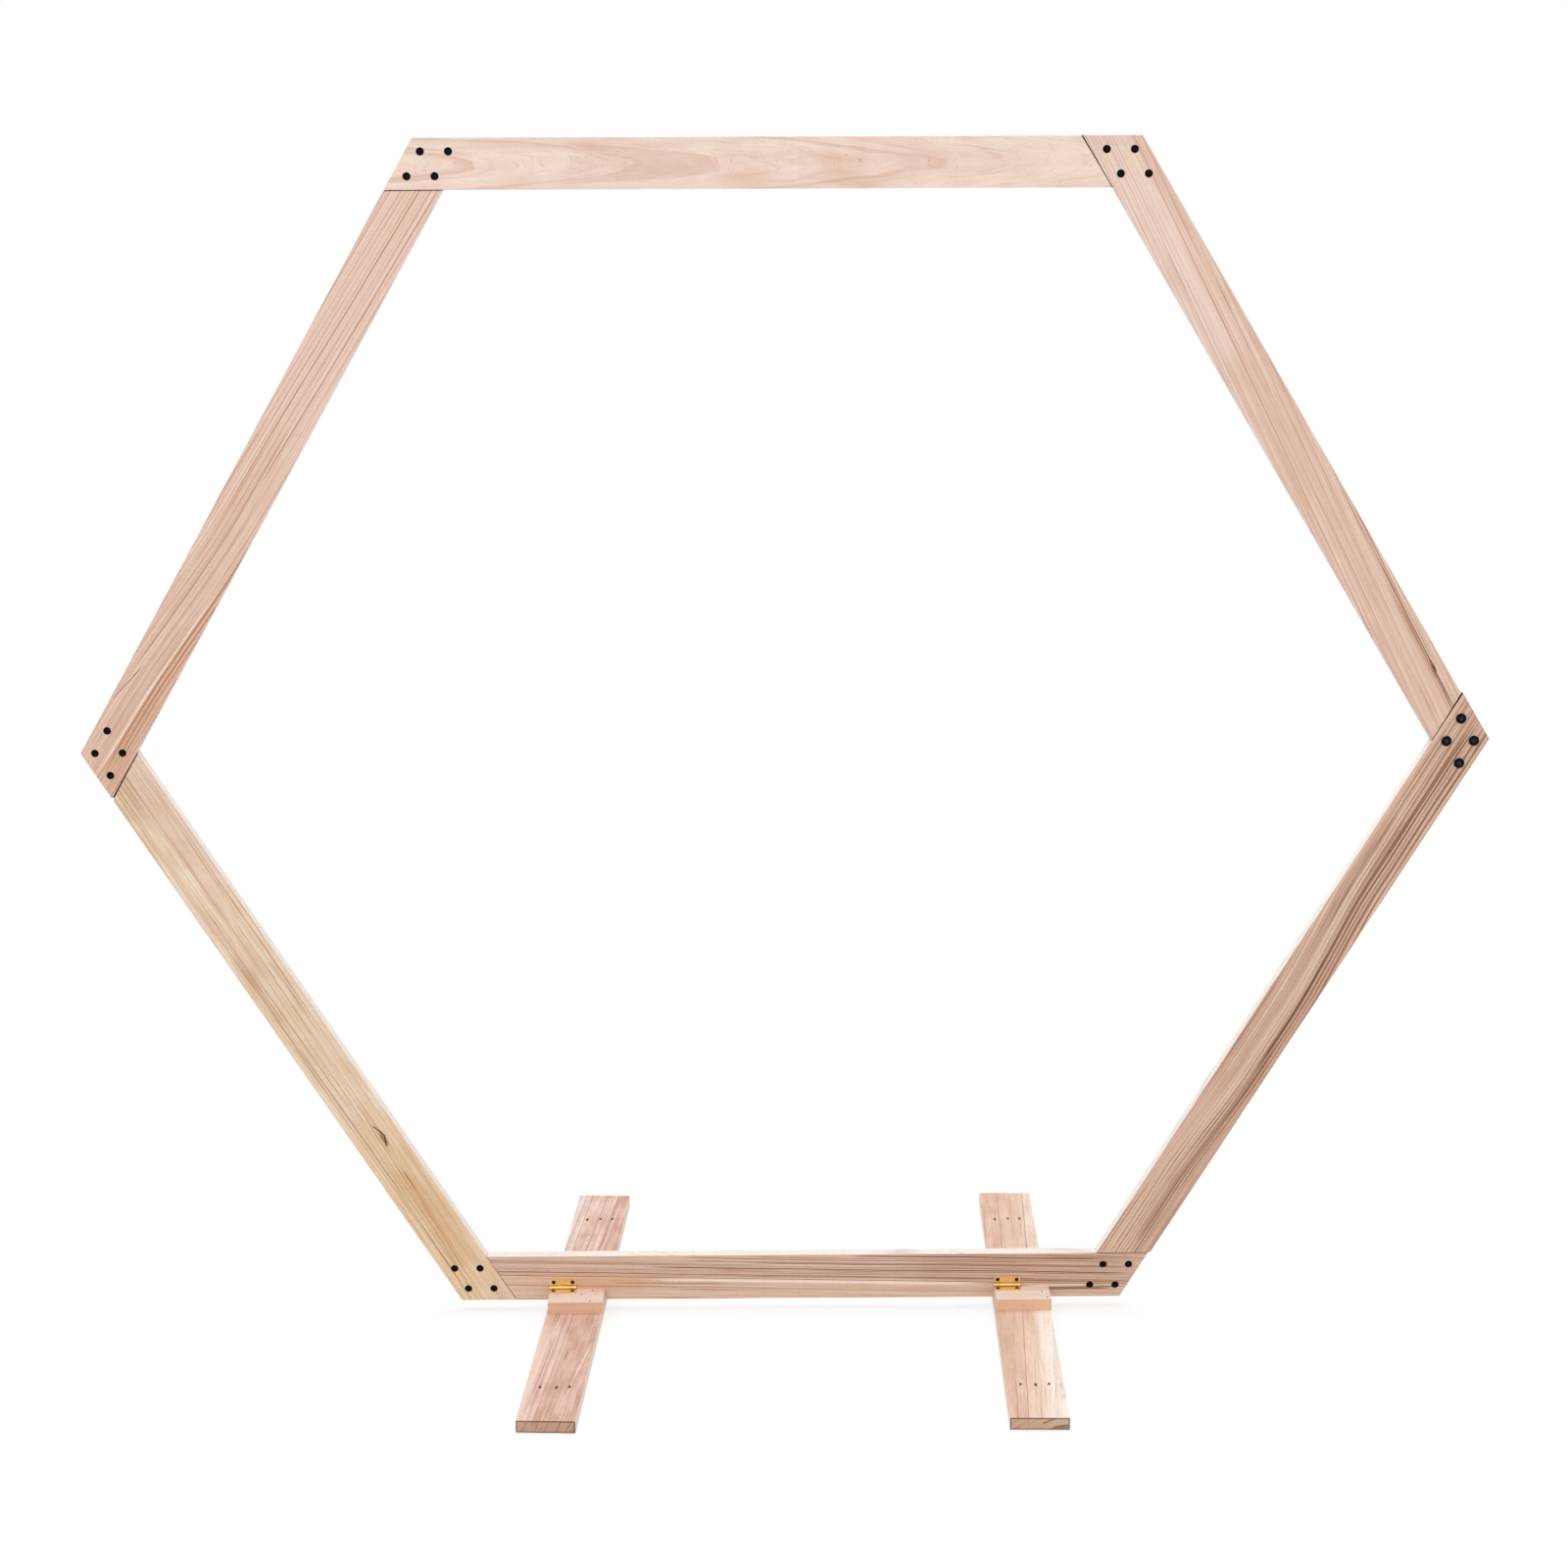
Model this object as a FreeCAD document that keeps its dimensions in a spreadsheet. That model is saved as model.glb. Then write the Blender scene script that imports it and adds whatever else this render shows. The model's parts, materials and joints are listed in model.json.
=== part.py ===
# A hexagonal wedding arch of half-lapped boards on two folding cross feet.
#
# Frame of the part, in millimetres: +Z up, +X along the arch, +Y to the rear.
# The origin is on the floor, in the middle of the rectangle that the arch covers.
# The hexagon is a little racked: its sides are equal and opposite sides are parallel,
# but its corners are not all alike. The feet stand a little askew under it.
import FreeCAD, Part
import os
import re

import Sketcher
from FreeCAD import Placement, Rotation, Vector

document = FreeCAD.newDocument("WeddingArch")

# Driving dimensions, in millimetres and degrees

SIZES = [
    ("side_length", 1000.0, "outer edge of each board, corner to corner"),
    ("top_right_turn", 58.5, "degrees from the top board to the next at its right"),
    ("right_turn", 62.0, "degrees between the two boards that meet at the right"),
    ("board_width", 70.0, "width of a hexagon board"),
    ("board_thick", 20.0, "thickness of a hexagon board, twice that of a lap"),
    ("board_setback", 3.0, "middle of the boards behind the middle of the feet"),
    ("rear_seam", 0.3, "gap at the shoulder of each rear lap"),
    ("bolt_spacing", 38.5, "side of the rhombus of four bolts at a corner"),
    ("bolt_radius", 3.0, "shank of a corner bolt"),
    ("bolt_clearance", 0.2, "bolt shank to its hole in a front tongue"),
    ("bolt_tip_gap", 1.0, "end of a bolt short of the rear face"),
    ("head_radius", 5.1, "socket head of a corner bolt"),
    ("head_height", 4.0, "height of a socket head"),
    ("head_sink", 0.5, "top of a sunk head below the front face"),
    ("head_side_gap", 0.5, "socket head to the wall of its counterbore"),
    ("cap_radius", 7.5, "flat cap of a bolt at the right-hand corner"),
    ("cap_height", 2.4, "height of a flat cap over the front face"),
    ("socket_radius", 2.9, "hexagon socket over its corners"),
    ("socket_depth", 2.0, "depth of a hexagon socket"),
    ("insert_radius", 4.5, "threaded insert in a rear lap"),
    ("insert_gap", 0.05, "insert to its hole, and bolt shank to the insert"),
    ("insert_recess", 0.4, "end of an insert below the rear face"),
    ("foot_length", 810.0, "length of a foot, front to rear"),
    ("foot_width", 82.5, "width of a foot and of its cleat"),
    ("foot_thick", 18.0, "thickness of a foot"),
    ("left_foot_offset", 175.0, "middle of the left foot from the bottom left corner"),
    ("right_foot_offset", 153.0, "middle of the right foot from the bottom right corner"),
    ("left_foot_turn", 2.6, "degrees that the front of the left foot swings left"),
    ("right_foot_turn", 1.35, "degrees that the front of the right foot swings left"),
    ("seat_gap", 0.3, "underside of the bottom board over the feet"),
    ("cleat_depth", 50.0, "cleat, front to rear"),
    ("cleat_height", 18.0, "cleat over its foot"),
    ("cleat_gap", 0.3, "cleat to the front face of the bottom board"),
    ("hinge_length", 40.0, "length of a butt hinge"),
    ("middle_knuckle", 21.0, "length of the long middle knuckle"),
    ("knuckle_radius", 2.5, "outside of a knuckle"),
    ("knuckle_gap", 0.3, "running gap round and between the knuckles"),
    ("pin_radius", 1.25, "hinge pin"),
    ("pin_gap", 0.05, "running clearance of the pin"),
    ("leaf_thick", 1.2, "thickness of a hinge leaf"),
    ("leaf_reach", 13.0, "edge of a leaf from the pin"),
    ("screw_spacing", 28.7, "two screws of a leaf, along the hinge"),
    ("screw_reach", 8.0, "screws of a leaf from the pin"),
    ("screw_head_radius", 2.8, "flat head of a hinge screw"),
    ("screw_radius", 1.3, "shank of a hinge screw"),
    ("screw_depth", 12.0, "shank of a hinge screw in the wood"),
    ("screw_gap", 0.05, "screw to its hole in leaf and wood"),
    ("slot_width", 0.8, "cross slot in a screw head"),
    ("slot_length", 3.4, "length of the cross slot"),
    ("slot_depth", 0.7, "depth of the cross slot"),
]

# Each corner: how far the seam in the front face opens at the outer and at the inner
# edge, and how far the front tongue passes the edge of the board behind it.
CORNERS = {
    "top_left": (1.2, 0.5, 0.0),
    "top_right": (1.8, 0.6, 0.0),
    "right": (2.4, 0.4, 2.5),
    "bottom_right": (0.9, 0.5, -3.0),
    "bottom_left": (1.0, 0.5, 0.0),
    "left": (2.4, 0.4, 0.0),
}

for corner, (outer_seam, inner_seam, overrun) in CORNERS.items():
    SIZES.append((corner + "_outer_seam", outer_seam, "front seam at the outer edge"))
    SIZES.append((corner + "_inner_seam", inner_seam, "front seam at the inner edge"))
    SIZES.append((corner + "_overrun", overrun, "front tongue past the rear board"))

sheet = document.addObject("Spreadsheet::Sheet", "Sizes")
for row, (alias, number, meaning) in enumerate(SIZES, start=1):
    sheet.set(f"A{row}", alias)
    sheet.set(f"B{row}", str(number))
    sheet.set(f"C{row}", meaning)
    sheet.setAlias(f"B{row}", alias)
document.recompute()

ALIASES = {alias for alias, number, meaning in SIZES}


def formula(words):
    """Expression in which every driving dimension is read from the sheet."""
    return re.sub(r"[a-z_]+", lambda word: "Sizes." + word.group()
                  if word.group() in ALIASES else word.group(), str(words))


def bind(item, **formulas):
    """Tie properties of an object to the sheet; place_x means Placement.Base.x."""
    for name, words in formulas.items():
        target = name.replace("place_", "Placement.Base.")
        item.setExpression(target, formula(words))
    return item


# The boards follow one another clockwise, as seen from the front, from the top left
# corner on. Corner number n is where board number n starts.

BOARDS = ["top_board", "upper_right_board", "lower_right_board",
          "bottom_board", "lower_left_board", "upper_left_board"]
CORNER_NAMES = list(CORNERS)
CAPPED_CORNER = "right"
TURNS = ["(180 - top_right_turn - right_turn)", "(top_right_turn)", "(right_turn)"] * 2
SECOND_HEADING = "(top_right_turn)"
THIRD_HEADING = "(top_right_turn + right_turn)"


def heading(index):
    """Direction of board number index, in degrees clockwise from +X."""
    within = ["0", SECOND_HEADING, THIRD_HEADING][index % 3]
    return f"({within} + {180 * (index // 3)})"


# Lengths that follow from the driving dimensions

LAP_THICK = "(board_thick / 2)"
BOARD_UNDERSIDE = "(foot_thick + seat_gap)"
HALF_RISE = f"(side_length * (sin({SECOND_HEADING}) + sin({THIRD_HEADING})) / 2)"
ARCH_MIDDLE = f"({BOARD_UNDERSIDE} + {HALF_RISE})"
BOTTOM_MIDDLE = f"(side_length * (cos({SECOND_HEADING}) + cos({THIRD_HEADING})) / 2)"
FRONT_FACE = "(board_setback - board_thick / 2)"
COUNTERBORE_DEPTH = "(head_height + head_sink)"
PIN_OFFSET = "(knuckle_radius + knuckle_gap)"
PIN_HEIGHT = f"(foot_thick + cleat_height + {PIN_OFFSET})"
PIN_FRONT = f"({FRONT_FACE} - {PIN_OFFSET})"
END_KNUCKLE = "((hinge_length - middle_knuckle) / 2 - knuckle_gap)"


# Sketched bodies

def new_body(name):
    body = document.addObject("PartDesign::Body", name)
    body.Label = name
    return body


def new_sketch(body, name, level):
    """Empty sketch parallel to the body's XY plane at a height."""
    sketch = body.newObject("Sketcher::SketchObject", name)
    base = [plane for plane in body.Origin.OriginFeatures if plane.Role == "XY_Plane"]
    sketch.AttachmentSupport = [(base[0], "")]
    sketch.MapMode = "FlatFace"
    sketch.setExpression("AttachmentOffset.Base.z", formula(level))
    return sketch


def fix_point(sketch, element, point, place):
    """Hold a point of a sketch element at a place given by two formulas."""
    for kind, words in zip(("DistanceX", "DistanceY"), place):
        index = sketch.addConstraint(Sketcher.Constraint(kind, -1, 1, element, point, 1.0))
        sketch.setExpression(f"Constraints[{index}]", formula(words))


def outline(body, name, level, corners):
    """Closed straight-sided sketch through four corners given by formulas."""
    sketch = new_sketch(body, name, level)
    rough = [Vector(0, 0, 0), Vector(1, 0, 0), Vector(1, 1, 0), Vector(0, 1, 0)]
    count = len(corners)
    for index in range(count):
        line = Part.LineSegment(rough[index], rough[(index + 1) % count])
        sketch.addGeometry(line, False)
    for index in range(count):
        after = (index + 1) % count
        sketch.addConstraint(Sketcher.Constraint("Coincident", index, 2, after, 1))
    for index, place in enumerate(corners):
        fix_point(sketch, index, 1, place)
    return sketch


def pad(body, name, level, corners, height):
    feature = body.newObject("PartDesign::Pad", name)
    feature.Profile = outline(body, name + "_outline", level, corners)
    return bind(feature, Length=height)


def bore(body, name, level, centres, radius, depth, upward=True):
    """Round holes at the centres, cut up or down from the level."""
    sketch = new_sketch(body, name + "_circles", level)
    for index, place in enumerate(centres):
        circle = Part.Circle(Vector(index, 0, 0), Vector(0, 0, 1), 1.0)
        sketch.addGeometry(circle, False)
        size = sketch.addConstraint(Sketcher.Constraint("Radius", index, 1.0))
        sketch.setExpression(f"Constraints[{size}]", formula(radius))
        fix_point(sketch, index, 3, place)
    feature = body.newObject("PartDesign::Pocket", name)
    feature.Profile = sketch
    feature.Reversed = upward
    return bind(feature, Length=depth)


# Hexagon boards: local x along the outer edge from the start corner, y inwards, z to
# the rear. Two boards cross in a lap, a rhombus between their outer and inner edges.

def bolt_places(index, at_end):
    """Four places round the middle of the lap at one end of a board."""
    turn = TURNS[(index + at_end) % len(TURNS)]
    lap_middle = f"board_width * tan({turn} / 2) / 2"
    middle = f"side_length - {lap_middle}" if at_end else lap_middle
    slant = 1 if at_end else -1
    places = []
    for along in (-0.5, 0.5):
        for across in (-0.5, 0.5):
            places.append((
                f"{middle} + bolt_spacing * ({along} + {slant * across} * cos({turn}))",
                f"board_width / 2 + bolt_spacing * {across} * sin({turn})"))
    return places


def place_on_side(item, index):
    """Move an object from the local frame of a board to side number index."""
    ways = [heading(index + step) for step in range(3)]
    across = " + ".join(f"cos({way})" for way in ways)
    up = " + ".join(f"sin({way})" for way in ways)
    start = (f"vector(-side_length / 2 * ({across}); {FRONT_FACE}; "
             f"{ARCH_MIDDLE} + side_length / 2 * ({up}))")
    item.setExpression("Placement", formula(
        f"placement({start}; rotation(vector(0; 1; 0); {ways[0]})"
        " * rotation(vector(1; 0; 0); -90))"))
    return item


def hexagon_board(index):
    """Board with a front tongue at its start and a rear tongue at its end."""
    name = BOARDS[index]
    start = CORNER_NAMES[index]
    end = CORNER_NAMES[(index + 1) % len(CORNER_NAMES)]
    near = TURNS[index]
    far = TURNS[(index + 1) % len(TURNS)]
    body = new_body(name)
    pad(body, name + "_front_half", "0", [
        (f"-{start}_overrun / sin({near})", "0"),
        (f"side_length - (board_width + {end}_outer_seam) / sin({far})", "0"),
        (f"side_length - board_width * tan({far} / 2) - {end}_inner_seam / sin({far})",
         "board_width"),
        (f"-board_width / tan({near}) - {start}_overrun / sin({near})", "board_width"),
    ], LAP_THICK)
    pad(body, name + "_rear_half", LAP_THICK, [
        (f"(board_width + rear_seam) / sin({near})", "0"),
        ("side_length", "0"),
        (f"side_length + board_width / tan({far})", "board_width"),
        (f"board_width * tan({near} / 2) + rear_seam / sin({near})", "board_width"),
    ], LAP_THICK)
    bore(body, name + "_bolt_holes", "0", bolt_places(index, at_end=False),
         "bolt_radius + bolt_clearance", LAP_THICK)
    if start != CAPPED_CORNER:
        bore(body, name + "_counterbores", "0", bolt_places(index, at_end=False),
             "head_radius + head_side_gap", COUNTERBORE_DEPTH)
    bore(body, name + "_insert_holes", LAP_THICK, bolt_places(index, at_end=True),
         "insert_radius + insert_gap", LAP_THICK)
    return place_on_side(body, index)


# Solids from primitives

def solid(kind, name, **formulas):
    return bind(document.addObject("Part::" + kind, name), **formulas)


def joined(name, pieces):
    whole = document.addObject("Part::MultiFuse", name)
    whole.Shapes = pieces
    return whole


def cut(name, base, tools):
    tool = tools[0] if len(tools) == 1 else joined(name + "_tools", tools)
    result = document.addObject("Part::Cut", name)
    result.Base = base
    result.Tool = tool
    return result


def group(name, master, places):
    """Copies of one solid as a single sub-part of solids that don't touch."""
    copies = []
    for number, (across, along, up) in enumerate(places):
        copy = document.addObject("App::Link", f"{name}_{number}")
        copy.LinkedObject = master
        copies.append(bind(copy, place_x=across, place_y=along, place_z=up))
    whole = document.addObject("Part::Compound", name)
    whole.Links = copies
    whole.Label = name
    return whole


def corner_bolt(name, radius, height, seat):
    """Bolt along z, with its seat at a depth below the front face, which is z = 0."""
    head = solid("Cylinder", name + "_head", Radius=radius, Height=height,
                 place_z=f"{seat} - {height}")
    shank = solid("Cylinder", name + "_shank", Radius="bolt_radius",
                  Height=f"board_thick - bolt_tip_gap - {seat}", place_z=seat)
    socket = solid("Prism", name + "_socket", Circumradius="socket_radius",
                   Height="socket_depth", place_z=f"{seat} - {height}")
    socket.Polygon = 6
    return cut(name, joined(name + "_body", [head, shank]), [socket])


def threaded_insert():
    """Sleeve in a rear lap, with its front end where the two laps meet."""
    sleeve = solid("Cylinder", "insert_sleeve", Radius="insert_radius",
                   Height=f"{LAP_THICK} - insert_recess", place_z=LAP_THICK)
    thread = solid("Cylinder", "insert_thread", Radius="bolt_radius + insert_gap",
                   Height=LAP_THICK, place_z=LAP_THICK)
    return cut("corner_insert", sleeve, [thread])


# Feet and cleats

FEET = {
    "left": (f"({BOTTOM_MIDDLE} - side_length / 2 + left_foot_offset)", "left_foot_turn"),
    "right": (f"({BOTTOM_MIDDLE} + side_length / 2 - right_foot_offset)", "right_foot_turn"),
}


def hinge_middle(middle):
    """A hinge starts at the left end of its cleat."""
    return f"({middle} - foot_width / 2 + hinge_length / 2)"


def foot(side, middle, turn):
    """Plank under the bottom board, turned a little about its own middle."""
    body = new_body(side + "_foot")
    half_width = "foot_width / 2"
    half_length = "foot_length / 2"
    pad(body, side + "_foot_plank", "0", [
        (f"-{half_width}", f"-{half_length}"), (half_width, f"-{half_length}"),
        (half_width, half_length), (f"-{half_width}", half_length)], "foot_thick")
    body.setExpression("Placement", formula(
        f"placement(vector({middle}; 0; 0); rotation(vector(0; 0; 1); -{turn}))"))
    return body


def cleat(side, middle):
    """Block on a foot in front of the bottom board, drilled for the hinge."""
    body = new_body(side + "_cleat")
    pad(body, side + "_cleat_block", "0", [
        ("0", "0"), ("foot_width", "0"), ("foot_width", "cleat_depth"),
        ("0", "cleat_depth")], "cleat_height")
    behind = f"cleat_depth + cleat_gap - {PIN_OFFSET} - screw_reach"
    places = [(f"hinge_length / 2 + screw_spacing * {half}", behind) for half in (-0.5, 0.5)]
    bore(body, side + "_cleat_pilots", "cleat_height", places,
         "screw_radius + screw_gap", "screw_depth + screw_gap", upward=False)
    return bind(body, place_x=f"{middle} - foot_width / 2",
                place_y=f"{FRONT_FACE} - cleat_gap - cleat_depth", place_z="foot_thick")


def drill_for_hinges(body):
    """Pilot holes for the hinge screws in the front face of the bottom board."""
    height = f"{PIN_HEIGHT} + screw_reach - {BOARD_UNDERSIDE}"
    places = []
    for middle, turn in FEET.values():
        for half in (-0.5, 0.5):
            across = f"{hinge_middle(middle)} + screw_spacing * {half}"
            places.append((f"{BOTTOM_MIDDLE} + side_length / 2 - ({across})", height))
    bore(body, "bottom_board_pilots", "0", places,
         "screw_radius + screw_gap", "screw_depth + screw_gap")


# Hinges: local x along the pin, a leaf flat under it and reaching towards -y

def hinge_leaf(name, inner):
    """Leaf with the middle knuckle (inner) or with the two end knuckles."""
    half = "middle_knuckle / 2"
    if inner:
        knuckles = [(f"-{half}", "middle_knuckle")]
    else:
        knuckles = [("-hinge_length / 2", END_KNUCKLE), (f"{half} + knuckle_gap", END_KNUCKLE)]
    pieces = [solid("Box", name + "_plate", Length="hinge_length",
                    Width=f"leaf_reach - {PIN_OFFSET}", Height="leaf_thick",
                    place_x="-hinge_length / 2", place_y="-leaf_reach",
                    place_z=f"-{PIN_OFFSET}")]
    for number, (start, length) in enumerate(knuckles):
        knuckle = f"{name}_knuckle_{number}"
        barrel = solid("Cylinder", knuckle, Radius="knuckle_radius", Height=length,
                       place_x=start)
        barrel.Placement.Rotation = Rotation(Vector(0, 1, 0), 90)
        web = solid("Box", knuckle + "_web", Length=length, Width=PIN_OFFSET,
                    Height="leaf_thick", place_x=start, place_y=f"-{PIN_OFFSET}",
                    place_z=f"-{PIN_OFFSET}")
        pieces.extend([barrel, web])
    pin_hole = solid("Cylinder", name + "_bore", Radius="pin_radius + pin_gap",
                     Height="hinge_length", place_x="-hinge_length / 2")
    pin_hole.Placement.Rotation = Rotation(Vector(0, 1, 0), 90)
    sinks = [solid("Cone", f"{name}_sink_{number}", Radius1="screw_radius + screw_gap",
                   Radius2="screw_head_radius + screw_gap", Height="leaf_thick",
                   place_x=f"screw_spacing * {half_way}", place_y="-screw_reach",
                   place_z=f"-{PIN_OFFSET}")
             for number, half_way in enumerate((-0.5, 0.5))]
    leaf = cut(name, joined(name + "_blank", pieces), [pin_hole] + sinks)
    leaf.Label = name
    return leaf


def hinge_screw():
    """Flat-headed screw along z, with the top of its head at z = 0."""
    head = solid("Cone", "screw_head", Radius1="screw_radius", Radius2="screw_head_radius",
                 Height="leaf_thick", place_z="-leaf_thick")
    shank = solid("Cylinder", "screw_shank", Radius="screw_radius", Height="screw_depth",
                  place_z="-leaf_thick - screw_depth")
    slots = []
    for number, (length, width) in enumerate((("slot_length", "slot_width"),
                                              ("slot_width", "slot_length"))):
        slots.append(solid("Box", f"screw_slot_{number}", Length=length, Width=width,
                           Height="slot_depth", place_x=f"-{length} / 2",
                           place_y=f"-{width} / 2", place_z="-slot_depth"))
    return cut("hinge_screw", joined("screw_body", [head, shank]), slots)


def place_on_hinge(item, middle, on_frame):
    """Move an object from the frame of the pin; a frame leaf stands up behind the pin."""
    flip = Rotation(Vector(0, 1, -1), 180) if on_frame else Rotation()
    item.Placement = Placement(Vector(), flip)
    return bind(item, place_x=hinge_middle(middle), place_y=PIN_FRONT, place_z=PIN_HEIGHT)


def hinge(side, middle):
    """The leaf on the board, the leaf on the cleat, the pin, and two screws a leaf."""
    made = []
    screw_places = [(f"screw_spacing * {half}", "-screw_reach", f"leaf_thick - {PIN_OFFSET}")
                    for half in (-0.5, 0.5)]
    for piece, on_frame in (("frame", True), ("foot", False)):
        leaf = hinge_leaf(f"{side}_hinge_{piece}_leaf", inner=not on_frame)
        screws = group(f"{side}_hinge_{piece}_screws", screw_master, screw_places)
        made.append(place_on_hinge(leaf, middle, on_frame))
        made.append(place_on_hinge(screws, middle, on_frame))
    pin = solid("Cylinder", side + "_hinge_pin", Radius="pin_radius", Height="hinge_length")
    pin.Label = side + "_hinge_pin"
    pin.Placement = Placement(Vector(), Rotation(Vector(0, 1, 0), 90))
    made.append(bind(pin, place_x=f"{hinge_middle(middle)} - hinge_length / 2",
                     place_y=PIN_FRONT, place_z=PIN_HEIGHT))
    return made


# The whole arch

nodes = [hexagon_board(index) for index in range(len(BOARDS))]
drill_for_hinges(nodes[BOARDS.index("bottom_board")])

sunk_bolt = corner_bolt("sunk_bolt", "head_radius", "head_height", COUNTERBORE_DEPTH)
capped_bolt = corner_bolt("capped_bolt", "cap_radius", "cap_height", "0")
insert_master = threaded_insert()
for index, corner in enumerate(CORNER_NAMES):
    lap = [(across, along, "0") for across, along in bolt_places(index, at_end=False)]
    bolt_master = capped_bolt if corner == CAPPED_CORNER else sunk_bolt
    nodes.append(place_on_side(group(corner + "_bolts", bolt_master, lap), index))
    nodes.append(place_on_side(group(corner + "_inserts", insert_master, lap), index))

screw_master = hinge_screw()
for side, (middle, turn) in FEET.items():
    nodes.append(foot(side, middle, turn))
    nodes.append(cleat(side, middle))
    nodes.extend(hinge(side, middle))

document.recompute()

# Checks before anything is written

for item in document.Objects:
    if "Invalid" in item.State or "Error" in item.State:
        raise RuntimeError(f"{item.Name} did not compute: {item.State}")

for node in nodes:
    shape = node.Shape
    if shape.isNull() or not shape.isValid() or shape.Volume <= 0:
        raise RuntimeError(f"{node.Label} has no valid shape")
    box = shape.BoundBox
    print(f"{node.Label:28s} solids {len(shape.Solids)}  volume {shape.Volume:12.1f}"
          f"  x {box.XMin:8.1f} {box.XMax:8.1f}  y {box.YMin:8.1f} {box.YMax:8.1f}"
          f"  z {box.ZMin:8.1f} {box.ZMax:8.1f}")

os.makedirs("parts", exist_ok=True)
for node in nodes:
    node.Shape.exportStep(f"parts/{node.Label}.step")
print(f"{len(nodes)} sub-parts written")
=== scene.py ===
# %% [markdown]
# # A hexagonal wedding arch in Blender
# The real thing is six planed softwood boards, half-lapped and bolted into a hexagon,
# on two cross feet that fold up on small brass hinges. The solids come from the CAD
# model, in metres: +Z is up, +X runs along the arch and the front faces -Y. This file
# dresses them: it eases their edges, grows the wood in them, and adds the fixings.

import json
import math
from types import SimpleNamespace

import bmesh
import bpy
from mathutils import Euler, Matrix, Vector

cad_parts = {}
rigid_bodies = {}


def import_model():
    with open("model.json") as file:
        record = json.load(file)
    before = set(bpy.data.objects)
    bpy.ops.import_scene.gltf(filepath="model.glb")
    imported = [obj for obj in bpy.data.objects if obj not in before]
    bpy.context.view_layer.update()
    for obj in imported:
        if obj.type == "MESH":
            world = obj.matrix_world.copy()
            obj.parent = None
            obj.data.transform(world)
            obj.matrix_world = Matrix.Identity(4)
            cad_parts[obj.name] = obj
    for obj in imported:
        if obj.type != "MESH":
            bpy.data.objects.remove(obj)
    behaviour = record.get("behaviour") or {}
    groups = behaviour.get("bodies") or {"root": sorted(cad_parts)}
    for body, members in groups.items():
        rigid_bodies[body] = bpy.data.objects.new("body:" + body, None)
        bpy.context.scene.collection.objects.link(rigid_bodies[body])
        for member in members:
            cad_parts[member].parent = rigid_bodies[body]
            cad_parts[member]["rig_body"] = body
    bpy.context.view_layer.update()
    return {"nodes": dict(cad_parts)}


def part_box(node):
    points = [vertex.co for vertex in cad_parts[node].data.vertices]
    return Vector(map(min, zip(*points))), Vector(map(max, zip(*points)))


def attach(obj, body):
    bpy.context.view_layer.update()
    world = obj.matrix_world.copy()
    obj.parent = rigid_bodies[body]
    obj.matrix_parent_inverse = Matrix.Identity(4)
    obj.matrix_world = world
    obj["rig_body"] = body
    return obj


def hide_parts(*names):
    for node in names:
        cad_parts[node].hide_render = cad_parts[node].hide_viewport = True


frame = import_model()

# %% [markdown]
# ## Where each board lies
# Wood grain runs along its own board, so each board needs a frame of its own: an origin
# at its starting corner, `along` the outer edge, `across` towards the opening, and
# `deep` to the rear. The boards follow one another clockwise round the hexagon. All of
# them are one metre long. The hexagon is a little racked, so its corners turn by three
# different angles, which come round twice. The origin and the three turns are also what
# a Mapping node wants.

# %% Board frames
SIDE = 1.0
CORNER_ANGLES = (58.5, 62.0, 59.5)
BOARD_WIDTH = 0.07
BOARDS = ["top_board", "upper_right_board", "lower_right_board",
          "bottom_board", "lower_left_board", "upper_left_board"]


def corner_turn(number):
    """The turn in radians from a board, by its number, to the next one."""
    return math.radians(CORNER_ANGLES[number % 3])


class Bench:
    """The place of a piece of wood: its origin and its turns as Euler angles."""

    def __init__(self, origin, turns):
        self.origin, self.turns = Vector(origin), Euler(turns)
        self.axes = self.turns.to_matrix()

    def place(self, along, across, deep):
        return self.origin + self.axes @ Vector((along, across, deep))


low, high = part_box("top_board")
corner = Vector((low.x + BOARD_WIDTH / math.tan(corner_turn(-1)), low.y, high.z))
bench = {}
heading = 0.0
for number, board in enumerate(BOARDS):
    bench[board] = Bench(corner, (-math.pi / 2, math.radians(heading), 0.0))
    corner = bench[board].place(SIDE, 0, 0)
    heading += CORNER_ANGLES[number % 3]
    print(board, [round(value, 4) for value in bench[board].origin])

# %% [markdown]
# The feet lie flat, each swung a little about the upright, with the grain from the
# front to the rear. The cleats sit square to the boards, with the grain across.

# %% Foot and cleat frames
FOOT_SWING = {"left": 2.6, "right": 1.35}
for side, swing in FOOT_SWING.items():
    low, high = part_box(side + "_foot")
    middle = Vector(((low.x + high.x) / 2, 0, high.z))
    bench[side + "_foot"] = Bench(middle, (0, 0, math.radians(90 - swing)))
    low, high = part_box(side + "_cleat")
    bench[side + "_cleat"] = Bench((low.x, high.y, high.z), (math.pi, 0, 0))
    print(side, "foot middle", round(middle.x, 4), "cleat from", round(low.x, 4))

# %% [markdown]
# ## Eased edges
# A planed board has its sharp edges taken off with a few strokes of sandpaper. A render
# shows that as a thin line of light along each edge and round each hole. The CAD mesh
# is loose triangles, so a copy of it is merged and its flat faces are joined up before
# the Bevel modifier rounds every edge sharper than 40 degrees. The copy stands for the
# CAD node, which stays where it is for the physics.
#
# First come the small jobs that every kind of piece needs: welding a CAD mesh, putting
# an object in the scene, smoothing, and making an object with modifiers a plain one.

# %% Small jobs
SAME_PLACE = 2e-6


def welded(node):
    """The triangles of a CAD node as a bmesh with one vertex a place."""
    shape = bmesh.new()
    shape.from_mesh(frame["nodes"][node].data)
    bmesh.ops.remove_doubles(shape, verts=shape.verts, dist=SAME_PLACE)
    return shape


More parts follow.
